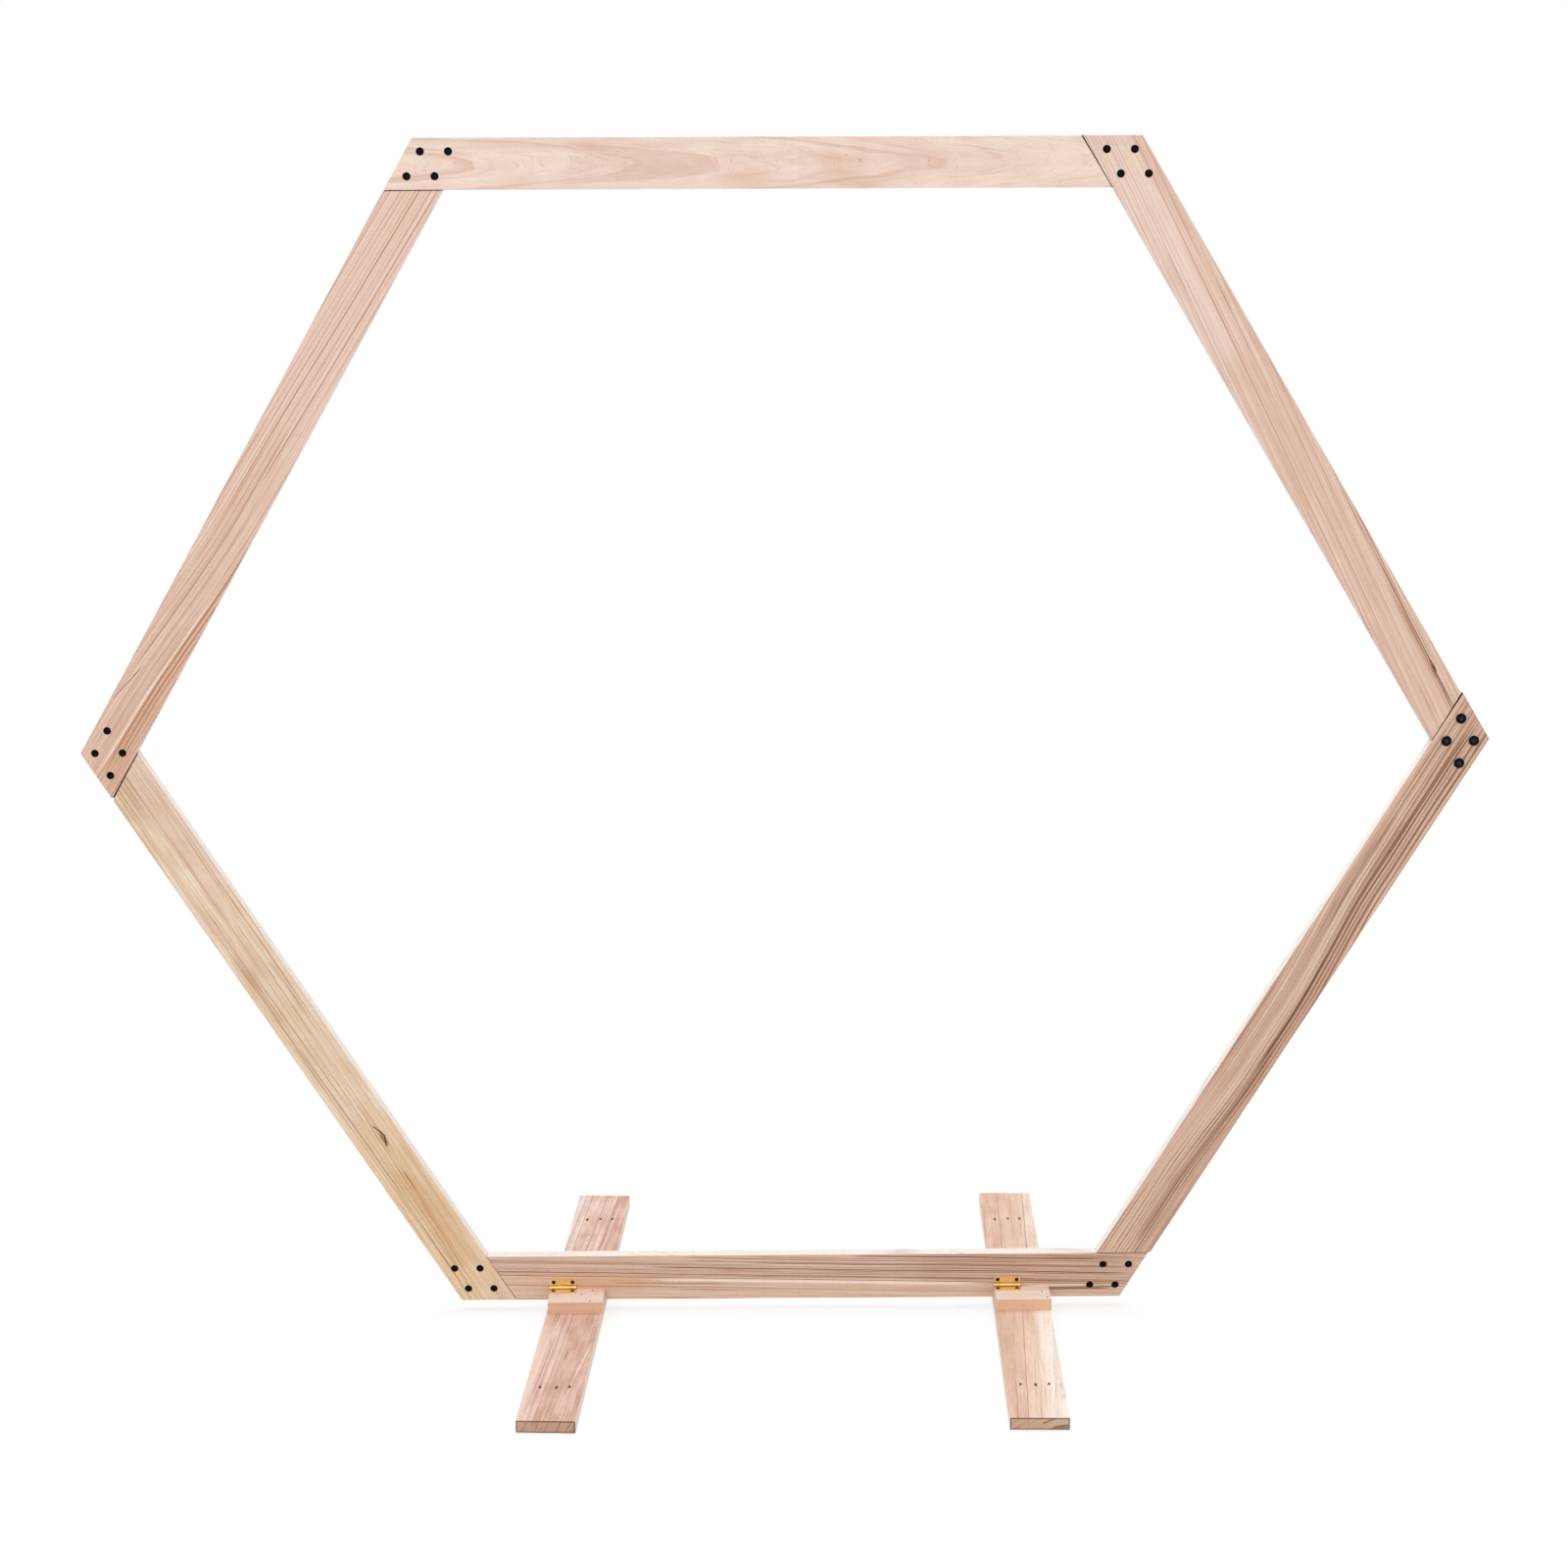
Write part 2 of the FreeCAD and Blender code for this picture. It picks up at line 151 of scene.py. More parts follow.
def put(name, data):
    """A new object in the scene."""
    thing = bpy.data.objects.new(name, data)
    bpy.context.scene.collection.objects.link(thing)
    return thing


def smoothed(mesh, sharp):
    """Smooth shading, with a crease at each edge that is sharper than an angle."""
    for face in mesh.polygons:
        face.use_smooth = True
    mesh.set_sharp_from_angle(angle=sharp)


def keep(thing, name):
    """The evaluated shape of an object as a plain mesh in a new object."""
    graph = bpy.context.evaluated_depsgraph_get()
    mesh = bpy.data.meshes.new_from_object(thing.evaluated_get(graph))
    mesh.name = name
    plain = put(name, mesh)
    bpy.data.objects.remove(thing)
    return plain


def dress(piece, material):
    """Give a piece one material, in place of what it had."""
    piece.data.materials.clear()
    piece.data.materials.append(material)


shape = welded("top_board")
print("the top board has", len(shape.verts), "corners once it is welded")
shape.free()

# %% A copy with eased edges
SHARP = math.radians(40)
FLAT = math.radians(0.5)
BEVEL_STEPS = 2


def eased(node, width):
    """A piece with rounded edges that stands for the CAD node."""
    shape = welded(node)
    bmesh.ops.dissolve_limit(shape, angle_limit=FLAT, verts=shape.verts, edges=shape.edges)
    mesh = bpy.data.meshes.new(node + "_merged")
    shape.to_mesh(mesh)
    shape.free()
    smoothed(mesh, SHARP)
    rough = put(node + "_rough", mesh)
    bevel = rough.modifiers.new("Eased edges", "BEVEL")
    bevel.width, bevel.segments = width, BEVEL_STEPS
    bevel.limit_method, bevel.angle_limit = "ANGLE", SHARP
    bevel.harden_normals = True
    bevel.use_clamp_overlap = True
    piece = keep(rough, node + "_eased")
    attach(piece, frame["nodes"][node]["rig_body"])
    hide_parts(node)
    return piece


print("edges sharper than", round(math.degrees(SHARP)), "degrees are rounded")

# %% Ease the timber
BOARD_EASE = 0.0005
FOOT_EASE = 0.0008
timber = {}
for node in BOARDS:
    timber[node] = eased(node, BOARD_EASE)
for side in FOOT_SWING:
    timber[side + "_foot"] = eased(side + "_foot", FOOT_EASE)
    timber[side + "_cleat"] = eased(side + "_cleat", BOARD_EASE)
for piece in timber.values():
    print(piece.name, len(piece.data.polygons), "faces")

# %% [markdown]
# ## Writing shader sums
# A wood pattern is mostly arithmetic on distances. Placing Math nodes one by one hides
# that arithmetic, so a small class wraps an output socket and gives it Python's
# operators: `1 - mask` adds a Subtract node and returns its output. One more method,
# `node`, adds any other kind of node. The last few methods are the shapes that come
# back all the time: a soft step, a window between two places, noise, and a mix.

# %% The wrapper
class Wire:
    """An output socket that can be written in sums."""

    def __init__(self, tree, socket=None):
        self.tree, self.socket = tree, socket

    def node(self, kind, settings=None, **inputs):
        """Add a node: settings first, then its sockets by identifier or by name."""
        made = self.tree.nodes.new(kind)
        for name, value in (settings or {}).items():
            setattr(made, name, value)
        for name, value in inputs.items():
            spaced = name.replace("_", " ")
            socket = next(s for s in made.inputs if name == s.identifier or spaced == s.name)
            if isinstance(value, Wire):
                self.tree.links.new(value.socket, socket)
            else:
                socket.default_value = value
        return Wire(self.tree, next(s for s in made.outputs if s.enabled))

    def __getitem__(self, output):
        return Wire(self.tree, self.socket.node.outputs[output])

    def maths(self, operation, *values):
        return self.node("ShaderNodeMath", {"operation": operation},
                         **dict(zip(("Value", "Value_001"), values)))

    def __add__(self, other):
        return self.maths("ADD", self, other)

    def __radd__(self, other):
        return self.maths("ADD", other, self)

    def __sub__(self, other):
        return self.maths("SUBTRACT", self, other)

    def __rsub__(self, other):
        return self.maths("SUBTRACT", other, self)

    def __mul__(self, other):
        return self.maths("MULTIPLY", self, other)

    def __rmul__(self, other):
        return self.maths("MULTIPLY", other, self)

    def __truediv__(self, other):
        return self.maths("DIVIDE", self, other)

    def __pow__(self, other):
        return self.maths("POWER", self, other)

    def __abs__(self):
        return self.maths("ABSOLUTE", self)

    def __gt__(self, limit):
        return self.maths("GREATER_THAN", self, limit)

    def least(self, other):
        return self.maths("MINIMUM", self, other)

    def most(self, other):
        return self.maths("MAXIMUM", self, other)

    def rise(self, low, high):
        """0 below low, 1 above high, and a smooth slope between them."""
        return self.node("ShaderNodeMapRange", {"interpolation_type": "SMOOTHSTEP"},
                         Value=self, From_Min=low, From_Max=high)

    def between(self, start, stop, soft):
        """1 between start and stop, falling to 0 there over the width `soft`."""
        return self.rise(start, start + soft) * (1 - self.rise(stop - soft, stop))

    def turned_to(self, axis):
        """For a normal: 1 where it lies along an axis, either way, and 0 square to it."""
        return abs(self.node("ShaderNodeVectorMath", {"operation": "DOT_PRODUCT"},
                             Vector=self, Vector_001=tuple(axis))["Value"])

    def point(self, along, across, deep):
        return self.node("ShaderNodeCombineXYZ", X=along, Y=across, Z=deep)

    def cloud(self, vector, scale=1.0, detail=2.0, rough=0.5):
        """Soft noise about one half."""
        return self.node("ShaderNodeTexNoise", Vector=vector, Scale=scale,
                         Detail=detail, Roughness=rough)

    def tint(self, amount, before, after):
        """Mix one colour over another."""
        return self.node("ShaderNodeMix", {"data_type": "RGBA"},
                         Factor_Float=amount, A_Color=before, B_Color=after)


print("a wire has", sum(callable(part) for part in vars(Wire).values()), "methods")

# %% Colours and materials
def colour(red, green, blue):
    """A colour as it is read off a screen, from 0 to 255, in linear light."""
    parts = [value / 255 for value in (red, green, blue)]
    return tuple(part / 12.92 if part <= 0.04045 else ((part + 0.055) / 1.055) ** 2.4
                 for part in parts) + (1,)


def distance(side, other_side):
    """How far two places at right angles are apart, as a wire."""
    return (side ** 2 + other_side ** 2) ** 0.5


def finish(name):
    """An empty material: its wire to add nodes with, its shader and the material."""
    material = bpy.data.materials.new(name)
    material.use_nodes = True
    tree = material.node_tree
    return Wire(tree), tree.nodes["Principled BSDF"], material


def plug(wire, shader, shade, rough, bump):
    """Feed a shader its colour, its roughness and its bumps."""
    for socket, value in (("Base Color", shade), ("Roughness", rough), ("Normal", bump)):
        wire.tree.links.new(value.socket, shader.inputs[socket])


print("mid grey in linear light", [round(part, 3) for part in colour(128, 128, 128)])

# %% [markdown]
# ## Growing the wood
# Real grain is not a picture on a surface. The tree laid down rings about its pith, the
# saw cut a board out of it, and every face shows the same rings from its own side:
# nearly straight lines on one face, arches on another, arcs on the ends. So the pattern
# here is a solid one. Each board says where its pith runs, how far apart the rings are
# and how wavy they grew, and the shader works out the ring that each point lies in.
# Fine fibres, pores and broad tone then follow those rings.
#
# A board's look is a dict. Colours run from 0 to 255, and lengths are in metres in the
# board's own frame:
#
# - `light` and `middle` are the two tones of the broad stripes, and `dark` is the late
#   wood of the rings; `edge` is the colour of the narrow edges, partly the wood's tone
#   and partly painted light, and `end` that of the sawn ends
# - `pith` is where the pith runs (across, deep), and `lean` how far it drifts a metre
# - `ring` is the distance between rings, and `wave` how far they sway
# - `lines`, `stripes`, `hair`, `mottle`, `pores` and `end_dark` are strengths
# - `seed` shifts the noise, so that no two boards match
# - `sweeps` (start, stop, shift) carry the grain across between two places
# - `knots` (along, across, length, width, depth, colour) are branches, which push the
#   rings aside
# - `patches` (start, stop, low, high, strength, colour) change the tone of an area
# - `joints` (across, slope, start, stop, strength) are glue lines, and `strip_tones`
#   (light, middle) the tones of the strips between them
# - `veins` (across, slope, half width, start, stop, strength, colour) are dark or pale
#   streaks that run with the grain; `across` is where the line would cross the board's
#   start, and the slope is for each metre along it
# - `checks` (across, slope, half width, start, stop) are cracks, and
#   the dark lines of painted shadow over the seams; `dents` (along, across, length) are
#   the dimples round a brad
# - `rim` (half width, thickness) gives a foot dark outlines of painted shade round its
#   ends, along the arrises
# - `lapped` is the turn from the board before, for a board with half-laps whose insides
#   get a near-black painted shade, and `bare` the width of a strip along its outer edge
#   that a short tongue leaves open, which stays unshaded

# %% The look of a plain board
PLAIN = {
    "light": (236, 209, 192), "middle": (226, 193, 174), "dark": (182, 134, 110),
    "edge": (251, 243, 236), "end": (204, 160, 126), "end_dark": 0.4,
    "pith": (-0.10, 0.03), "lean": (0.0, 0.0), "ring": 0.006, "wave": 0.003,
    "lines": 0.7, "stripes": 0.6, "hair": 0.5, "mottle": 0.3, "pores": 0.4, "seed": 0.0,
    "sweeps": [], "knots": [], "patches": [], "joints": [], "strip_tones": [],
    "veins": [], "checks": [], "dents": [], "rim": None, "lapped": None, "bare": 0.0,
}
print("a look has", len(PLAIN), "entries")

# %% [markdown]
# ### Where a point lies in the tree
# A Mapping node of the kind Texture turns a point of the object into the board's frame.
# Each glued strip is its own piece of the tree, so its coordinates jump at the glue.
# Sweeps move the grain across the board, and a knot squeezes the coordinate across the
# board, so that the rings flow round it. What is left is the distance from the pith.

# %% Coordinates, strips, knots and the pith
SQUEEZE = 0.8
STRIP_JUMP = 0.37
STRIP_SHIFT = 0.021
SQUARE_ON = 0.9
SAWN = 0.4


def grown(wire, place, look):
    """The wires of a point: where it is in its board, and how far from the pith."""
    here = wire.node("ShaderNodeTexCoord")
    local = wire.node("ShaderNodeMapping", {"vector_type": "TEXTURE"},
                      Vector=here["Object"], Location=tuple(place.origin),
                      Rotation=tuple(place.turns))
    apart = wire.node("ShaderNodeSeparateXYZ", Vector=local)
    along, across, deep = (apart[axis] for axis in "XYZ")

    strip = 0.0 * along     # a wire that says 0, the number of the first strip
    for path, slope, *_ in look["joints"]:
        strip = strip + (across - (path + slope * along) > 0.0)
    jumps = strip * STRIP_JUMP + look["seed"]

    flow, cores = across, []
    for start, stop, shift in look["sweeps"]:
        flow = flow - along.rise(start, stop) * shift
    for knot_along, knot_across, length, width, depth, tones in look["knots"]:
        away = distance((along - knot_along) / length, (across - knot_across) / width)
        flow = flow - (across - knot_across) * (1 - away.rise(0.2, 2.6)) * SQUEEZE
        cores.append(((1 - away.rise(0.35, 1.0)) * depth, tones))

    broad = wire.cloud(wire.point(along * 1.7 + jumps, flow * 14, deep * 14 + jumps),
                       detail=1.5)
    ripple = wire.cloud(wire.point(along * 9 + jumps, flow * 60, deep * 60 + jumps))
    sway = (broad - 0.5) * (2 * look["wave"]) + (ripple - 0.5) * (0.5 * look["wave"])
    (pith_across, pith_deep), (lean_across, lean_deep) = look["pith"], look["lean"]
    side_way = flow - (pith_across + lean_across * along)
    deep_way = deep - (pith_deep + lean_deep * along) + strip * STRIP_SHIFT
    radius = distance(side_way, deep_way) + sway

    normal, axes = here["Normal"], place.axes.col
    return SimpleNamespace(
        along=along, across=across, deep=deep, strip=strip, jumps=jumps, flow=flow,
        cores=cores, sway=sway, radius=radius, normal=normal, axes=axes,
        on_edge=normal.turned_to(axes[1]) > SQUARE_ON,
        on_end=normal.turned_to(axes[0]) > SAWN)


print("round a knot the grain is squeezed by up to", SQUEEZE)

# %% [markdown]
# ### What the rings make
# Years differ, and each ring has its own strength and darkens towards its late wood.
# Every other line is noise that is stretched along the board, slow, and cut fine from
# ring to ring: broad stripes, hairlines, threads, fibres and pores, each finer than the
# one before. The pores are the dark flecks where the fibres' ends come out.

# %% Rings, stripes and fibres
YEARS_DIFFER = 2.2
RING_STEP = 0.731


def patterned(wire, at, look):
    """Add the parts of the pattern to a point's wires, each from 0 to 1."""
    def stretched(slow, fine, jump, detail=2, rough=0.5):
        return wire.cloud(wire.point(at.along * slow, at.radius * fine, at.jumps * jump),
                          detail=detail, rough=rough)

    years = stretched(0.7, 75, 5)
    age = at.radius / look["ring"] + (years - 0.5) * YEARS_DIFFER
    ring = age.maths("FLOOR", age)
    at.late = (age - ring).rise(0.62, 0.95) * (1 - (age - ring).rise(0.96, 1.0))
    at.strength = wire.node("ShaderNodeTexWhiteNoise", {"noise_dimensions": "1D"},
                            W=ring * RING_STEP + at.jumps)["Value"]
    at.stripes = stretched(1.3, 160, 9, detail=3, rough=0.6).rise(0.32, 0.68)
    at.hairlines = stretched(2.4, 480, 7, detail=4, rough=0.7).rise(0.56, 0.68)
    at.threads = stretched(1.1, 650, 3).rise(0.4, 0.6)
    at.fibres = wire.cloud(wire.point(at.along * 14, at.radius * 1100,
                                      at.deep * 300 + at.jumps))
    at.pores = wire.cloud(wire.point(at.along * 95, at.radius * 2300, at.deep * 900),
                          detail=1).rise(0.62, 0.75)
    at.mottle = wire.cloud(wire.point(at.along * 16 + at.jumps, at.flow * 60, at.deep * 60),
                           detail=4, rough=0.6)
    at.speckle = wire.cloud(wire.point(at.across * 1500, at.deep * 1500, at.along * 60))


print("years differ by up to", YEARS_DIFFER, "rings")

# %% [markdown]
# ### Tone first, then lines
# The colour is built up as a painter would: a broad tone of light and middle wood, with
# the strips and patches that the look names, then the pale edges, which are partly the
# wood's own tone and partly a painted highlight. Over it come the lines: late wood,
# hairlines, fibres, veins, glue and pores. On the edges they are much fainter. A wide
# vein is made of threads, a narrow one is solid.

# %% The broad tone
PATCH_SOFT = 0.06
PATCH_SIDE = 0.008


def toned(wire, at, look):
    """The colour before any line is drawn."""
    tone = at.stripes * look["stripes"] + (at.mottle - 0.5) * (2 * look["mottle"]) + 0.3
    amount = tone.rise(0.0, 1.0)
    shade = wire.tint(amount, colour(*look["light"]), colour(*look["middle"]))
    for number, (light, middle) in enumerate(look["strip_tones"]):
        inside = 1 - abs(at.strip - number).rise(0.4, 0.6)
        shade = wire.tint(inside * 0.85, shade,
                          wire.tint(amount, colour(*light), colour(*middle)))
    for start, stop, low, high, strong, tones in look["patches"]:
        where = (at.along.between(start, stop, PATCH_SOFT)
                 * at.flow.between(low - PATCH_SIDE, high + PATCH_SIDE, 2 * PATCH_SIDE))
        shade = wire.tint(where * (0.5 + at.mottle) * strong, shade, colour(*tones))
    # the edges take the `edge` colour: partly the wood's tone, partly painted light
    return wire.tint(at.on_edge * 0.88, shade, colour(*look["edge"]))


print("a patch fades over", PATCH_SOFT, "m at its ends")

# %% The lines of the grain
WIDE_VEIN = 0.0019
VEIN_SOFT = 0.09
GLUE = 0.0007
GLUE_SOFT = 0.03


def off_line(place, at, path, slope):
    """How far a place is, across the board, from a line that slopes along it."""
    return abs(place - (path + slope * at.along))


def lined(wire, at, look, shade):
    """Draw rings, hairlines, fibres, veins, glue lines and pores over a tone."""
    dark = colour(*look["dark"])
    quiet = 1 - at.on_edge * 0.72
    shade = wire.tint(at.late * (0.2 + at.strength * 0.8) * quiet * look["lines"], shade, dark)
    shade = wire.tint(at.hairlines * (0.3 + at.mottle) * quiet * look["hair"], shade, dark)
    shade = wire.tint((at.fibres - 0.5).rise(0.0, 0.3) * quiet * 0.3, shade, dark)
    for path, slope, width, start, stop, strong, tones in look["veins"]:
        away = off_line(at.flow + at.sway * 1.3, at, path, slope) / width
        soft = min(VEIN_SOFT, (stop - start) / 3)
        band = (1 - away.rise(0.15, 1.0)) * at.along.between(start, stop, soft)
        if width > WIDE_VEIN:
            band = band * (0.25 + at.threads * 0.75)
        shade = wire.tint(band.rise(0.0, 0.8) * (1 - at.on_edge * 0.85) * strong, shade,
                          colour(*tones))
    for path, slope, start, stop, strong in look["joints"]:
        glue = 1 - (off_line(at.across, at, path, slope) / GLUE).rise(0.3, 1.0)
        shade = wire.tint(glue * at.along.between(start, stop, GLUE_SOFT) * strong, shade, dark)
    return wire.tint(at.pores * look["pores"], shade, dark)


print("a glue line is", 2 * GLUE, "m wide")

# %% [markdown]
# ### Marks on the front
# Brads leave dimples in the feet, and a knot has a dark core. A check is a crack that
# opened as the wood dried. The seam where two boards meet in a lap is drawn the same
# way: a dark line of painted shadow over the narrow gap in the solids. Dimples are only
# on the upper side, and cracks and seam shadows only on the front, so they are limited
# by `deep`.

# %% Dimples, knots, cracks and seam shadows
DENT = 0.0025
DENT_SHADE = colour(52, 32, 26)
CRACK_AND_SEAM_SOFT = 0.005
CRACK_AND_SEAM_SHADOW = colour(44, 26, 19)
UPPER_SIDE = -0.009
FRONT_SKIN = 0.003


def marked(wire, at, look, shade):
    """Dimples round the brads, the cores of the knots, the cracks, and the painted shadows of
    the seams.
    """
    for dent_along, dent_across, length in look["dents"]:
        away = distance((at.along - dent_along) / length, (at.across - dent_across) / DENT)
        dimple = (1 - away.rise(0.5, 1.1)) * (at.deep > UPPER_SIDE)
        shade = wire.tint(dimple, shade, DENT_SHADE)
    for core, tones in at.cores:
        shade = wire.tint(core, shade, colour(*tones))
    for path, slope, width, start, stop in look["checks"]:
        # cracks, and dark lines of painted shadow over the seams
        crack_and_seam_shadow = 1 - (off_line(at.across, at, path, slope) / width).rise(0.3, 1.0)
        in_front = 1 - (at.deep > FRONT_SKIN)
        shade = wire.tint(crack_and_seam_shadow * at.along.between(start, stop, CRACK_AND_SEAM_SOFT) * in_front,
                          shade, CRACK_AND_SEAM_SHADOW)
    return shade


print("a dimple is", 2 * DENT, "m across")

# %% [markdown]
# ### Ends and laps
# The ends are darker than the faces, and speckled by the cut fibres. Inside a lap joint
# the wood gets a near-black painted shade, for the shade that falls there, and it shows
# only as the depth of a seam. A tongue may pass the board that it lies on, or stop short
# of its edge, and the strip that this leaves in the open is plain wood. Which surfaces
# are inside follows from where they lie in the board and which way they face.

# %% Sawn ends
END_LATE = colour(104, 68, 44)
ARRIS_SHADOW_COLOUR = colour(96, 62, 44)


def sawn(wire, at, look, shade):
    """Colour the sawn ends, with painted shade along the arrises of a foot's ends."""
    speckled = at.speckle.rise(0.4, 0.7) * 0.5 + at.late * 0.3
    end_shade = wire.tint(speckled, colour(*look["end"]), colour(*look["dark"]))
    first_strip = 1 - at.strip.rise(0.2, 0.5)
    end_shade = wire.tint(at.late * first_strip * look["end_dark"], end_shade, END_LATE)
    if look["rim"]:
        half_wide, thick = look["rim"]
        nearest = (half_wide - abs(at.across)).least(0.0 - at.deep).least(at.deep + thick)
        # a dark outline of painted shade along the arrises of each end
        end_shade = wire.tint(1 - nearest.rise(0.001, 0.0028), end_shade, ARRIS_SHADOW_COLOUR)
    return wire.tint(at.on_end * 0.85, shade, end_shade)


print("an end's rim is", [round(part, 3) for part in ARRIS_SHADOW_COLOUR[:3]])

# %% Inside the laps
THICK, SKIN = 0.02, 0.002
HALF_THICK = 0.0099
LAP_SHADOW_COLOUR = colour(26, 15, 10)
TONGUE_LONG = 0.0388


def painted_lap_shade(wire, at, look, shade):
    """Paint shade on the inside of a board's two half-laps, where shade falls in the joint."""
    turn = look["lapped"]
    covered = ((at.along * math.sin(turn) + at.across * math.cos(turn) > 0.0)
               * (at.across > look["bare"]))
    inside = (at.deep > SKIN) * (1 - (at.deep > THICK - SKIN))
    lap_floor = (at.normal.turned_to(at.axes[2]) > SQUARE_ON) * inside * covered
    front_half = 1 - (at.deep > HALF_THICK)
    far_end = at.along > SIDE / 2
    shoulder = at.on_end * (far_end * front_half + (1 - far_end) * (1 - front_half))
    tongue_side = (at.on_edge * (at.across > BOARD_WIDTH - 0.001)
                   * (1 - (at.along > TONGUE_LONG)) * front_half)
    # the lap floors, shoulders and tongue sides get a near-black painted shade
    return wire.tint((lap_floor + shoulder + tongue_side).rise(0.0, 1.0), shade, LAP_SHADOW_COLOUR)


print("a lap is cut to", THICK / 2, "m")

# %% [markdown]
# ### The whole material
# The steps come one after another, and the same parts that colour the wood also raise
# it: fibres stand up, pores sink, and a sawn end is rough.

# %% Wood
def wood(name, place, **special):
    """A solid wood material for a piece that lies on the given bench."""
    look = {**PLAIN, **special}
    wire, shader, material = finish(name)
    at = grown(wire, place, look)
    patterned(wire, at, look)
    shade = toned(wire, at, look)
    for step in (lined, marked, sawn):
        shade = step(wire, at, look, shade)
    if look["lapped"]:
        shade = painted_lap_shade(wire, at, look, shade)
    height = at.fibres * 0.5 - at.pores * 0.8 + at.late * 0.3 + at.speckle * at.on_end
    bump = wire.node("ShaderNodeBump", Height=height, Strength=0.35, Distance=0.0002)
    rough = 0.55 + at.fibres * 0.14 + (at.mottle - 0.5) * 0.1
    plug(wire, shader, shade, rough, bump)
    shader.inputs["Specular IOR Level"].default_value = 0.3
    return material


looks = {}
print("wood is ready for", len(timber), "pieces")

# %% [markdown]
# ### Six boards, six trees
# The boards are cut from different planks, and that is half of the arch's charm. The
# top board is the palest and plainest. The saw met its rings almost flat, so they make
# wide, wavy arches, with a few rosy patches.

# %% The top board
looks["top_board"] = dict(
    light=(248, 226, 212), middle=(236, 206, 188), dark=(208, 158, 128), ring=0.017,
    pith=(0.036, 0.03), lean=(0.0, 0.045), lines=0.5, hair=0.3, wave=0.008, mottle=0.8,
    stripes=0.22, seed=1.3,
    patches=[(0.53, 0.66, 0.024, 0.07, 0.42, (222, 176, 144)),
             (0.4, 0.53, 0.045, 0.08, 0.35, (228, 188, 162)),
             (0.2, 0.27, 0.0, 0.05, 0.35, (226, 188, 166))])
print("top board: rings", looks["top_board"]["ring"], "m apart")

# %% [markdown]
# The upper right board has finer rings. A bundle of brown streaks runs out of it near
# its lower end, beside a small knot.

# %% The upper right board
looks["upper_right_board"] = dict(
    light=(247, 221, 205), middle=(227, 190, 169), dark=(188, 132, 102), ring=0.0062,
    pith=(-0.13, 0.04), lean=(0.075, 0.0), lines=0.62, hair=0.9, stripes=0.52, seed=3.1,
    veins=[(-0.026, 0.05, 0.0022, 0.55, 0.98, 1.0, (142, 92, 66)),
           (-0.023, 0.05, 0.0016, 0.72, 0.98, 0.9, (160, 108, 82)),
           (-0.03, 0.05, 0.002, 0.5, 0.9, 0.7, (172, 122, 98)),
           (-0.02, 0.05, 0.006, 0.7, 0.99, 0.5, (200, 150, 126)),
           (0.015, 0.06, 0.007, 0.12, 0.6, 0.5, (214, 162, 136))],
    knots=[(0.866, 0.0155, 0.009, 0.0032, 0.5, (112, 66, 34))],
    patches=[(-0.06, 0.36, 0.02, 0.09, 0.7, (245, 221, 206)),
             (0.15, 0.24, 0.052, 0.068, 0.5, (226, 184, 150))])
print("upper right board:", len(looks["upper_right_board"]["veins"]), "veins")

# %% [markdown]
# The lower right board is the darkest and the most striped. Its grain sweeps sideways
# twice, and a broad brown band runs down its middle. Neither of its laps is flush:
# its own tongue passes the board above, and the bottom board's tongue stops short.

# %% The lower right board
looks["lower_right_board"] = dict(
    light=(238, 206, 184), middle=(212, 172, 148), dark=(134, 84, 52), ring=0.0048,
    pith=(-0.09, 0.03), lines=0.8, hair=1.3, stripes=0.66, wave=0.0045, seed=5.2,
    edge=(255, 250, 245), sweeps=[(0.26, 0.5, -0.014), (0.6, 0.82, 0.009)], bare=0.0045,
    veins=[(0.029, 0.0, 0.0095, 0.5, 0.95, 0.6, (160, 118, 94)),
           (0.032, 0.0, 0.0038, -0.04, 0.62, 0.95, (124, 76, 44)),
           (0.0265, 0.0, 0.0016, -0.04, 0.72, 0.9, (130, 84, 56)),
           (0.0205, 0.0, 0.0009, 0.5, 0.86, 0.8, (140, 96, 74)),
           (0.0245, 0.004, 0.001, 0.62, 0.93, 0.8, (136, 92, 70)),
           (0.0295, 0.016, 0.001, 0.6, 0.95, 0.7, (150, 106, 84)),
           (0.045, 0.0, 0.0009, 0.0, 0.34, 0.7, (158, 112, 88)),
           (0.0405, 0.0, 0.0008, -0.04, 0.3, 0.8, (150, 104, 80)),
           (0.0385, -0.004, 0.002, 0.1, 0.8, 0.75, (140, 94, 68)),
           (0.015, 0.0, 0.0024, -0.04, 0.55, 0.85, (132, 86, 58)),
           (0.008, 0.0, 0.0012, -0.04, 0.4, 0.8, (142, 96, 70)),
           (0.021, 0.0, 0.001, 0.0, 0.7, 0.8, (140, 94, 68)),
           (0.051, -0.025, 0.0017, 0.28, 0.8, 0.6, (230, 198, 176)),
           (0.08, 0.0, 0.003, 0.4, 0.64, 0.6, (146, 98, 74)),
           (0.054, 0.02, 0.0009, 0.84, 1.0, 0.9, (128, 84, 60)),
           (0.049, 0.02, 0.0009, 0.8, 1.0, 0.8, (138, 92, 68))],
    patches=[(0.56, 0.94, 0.012, 0.034, 0.3, (180, 140, 116)),
             (0.62, 1.06, 0.038, 0.1, 0.45, (236, 200, 180))])
print("lower right board:", len(looks["lower_right_board"]["veins"]), "veins")

# %% [markdown]
# The bottom board is glued up from two strips at a slight angle: a plain one below and
# a striped one above, with a pale band just under the glue.

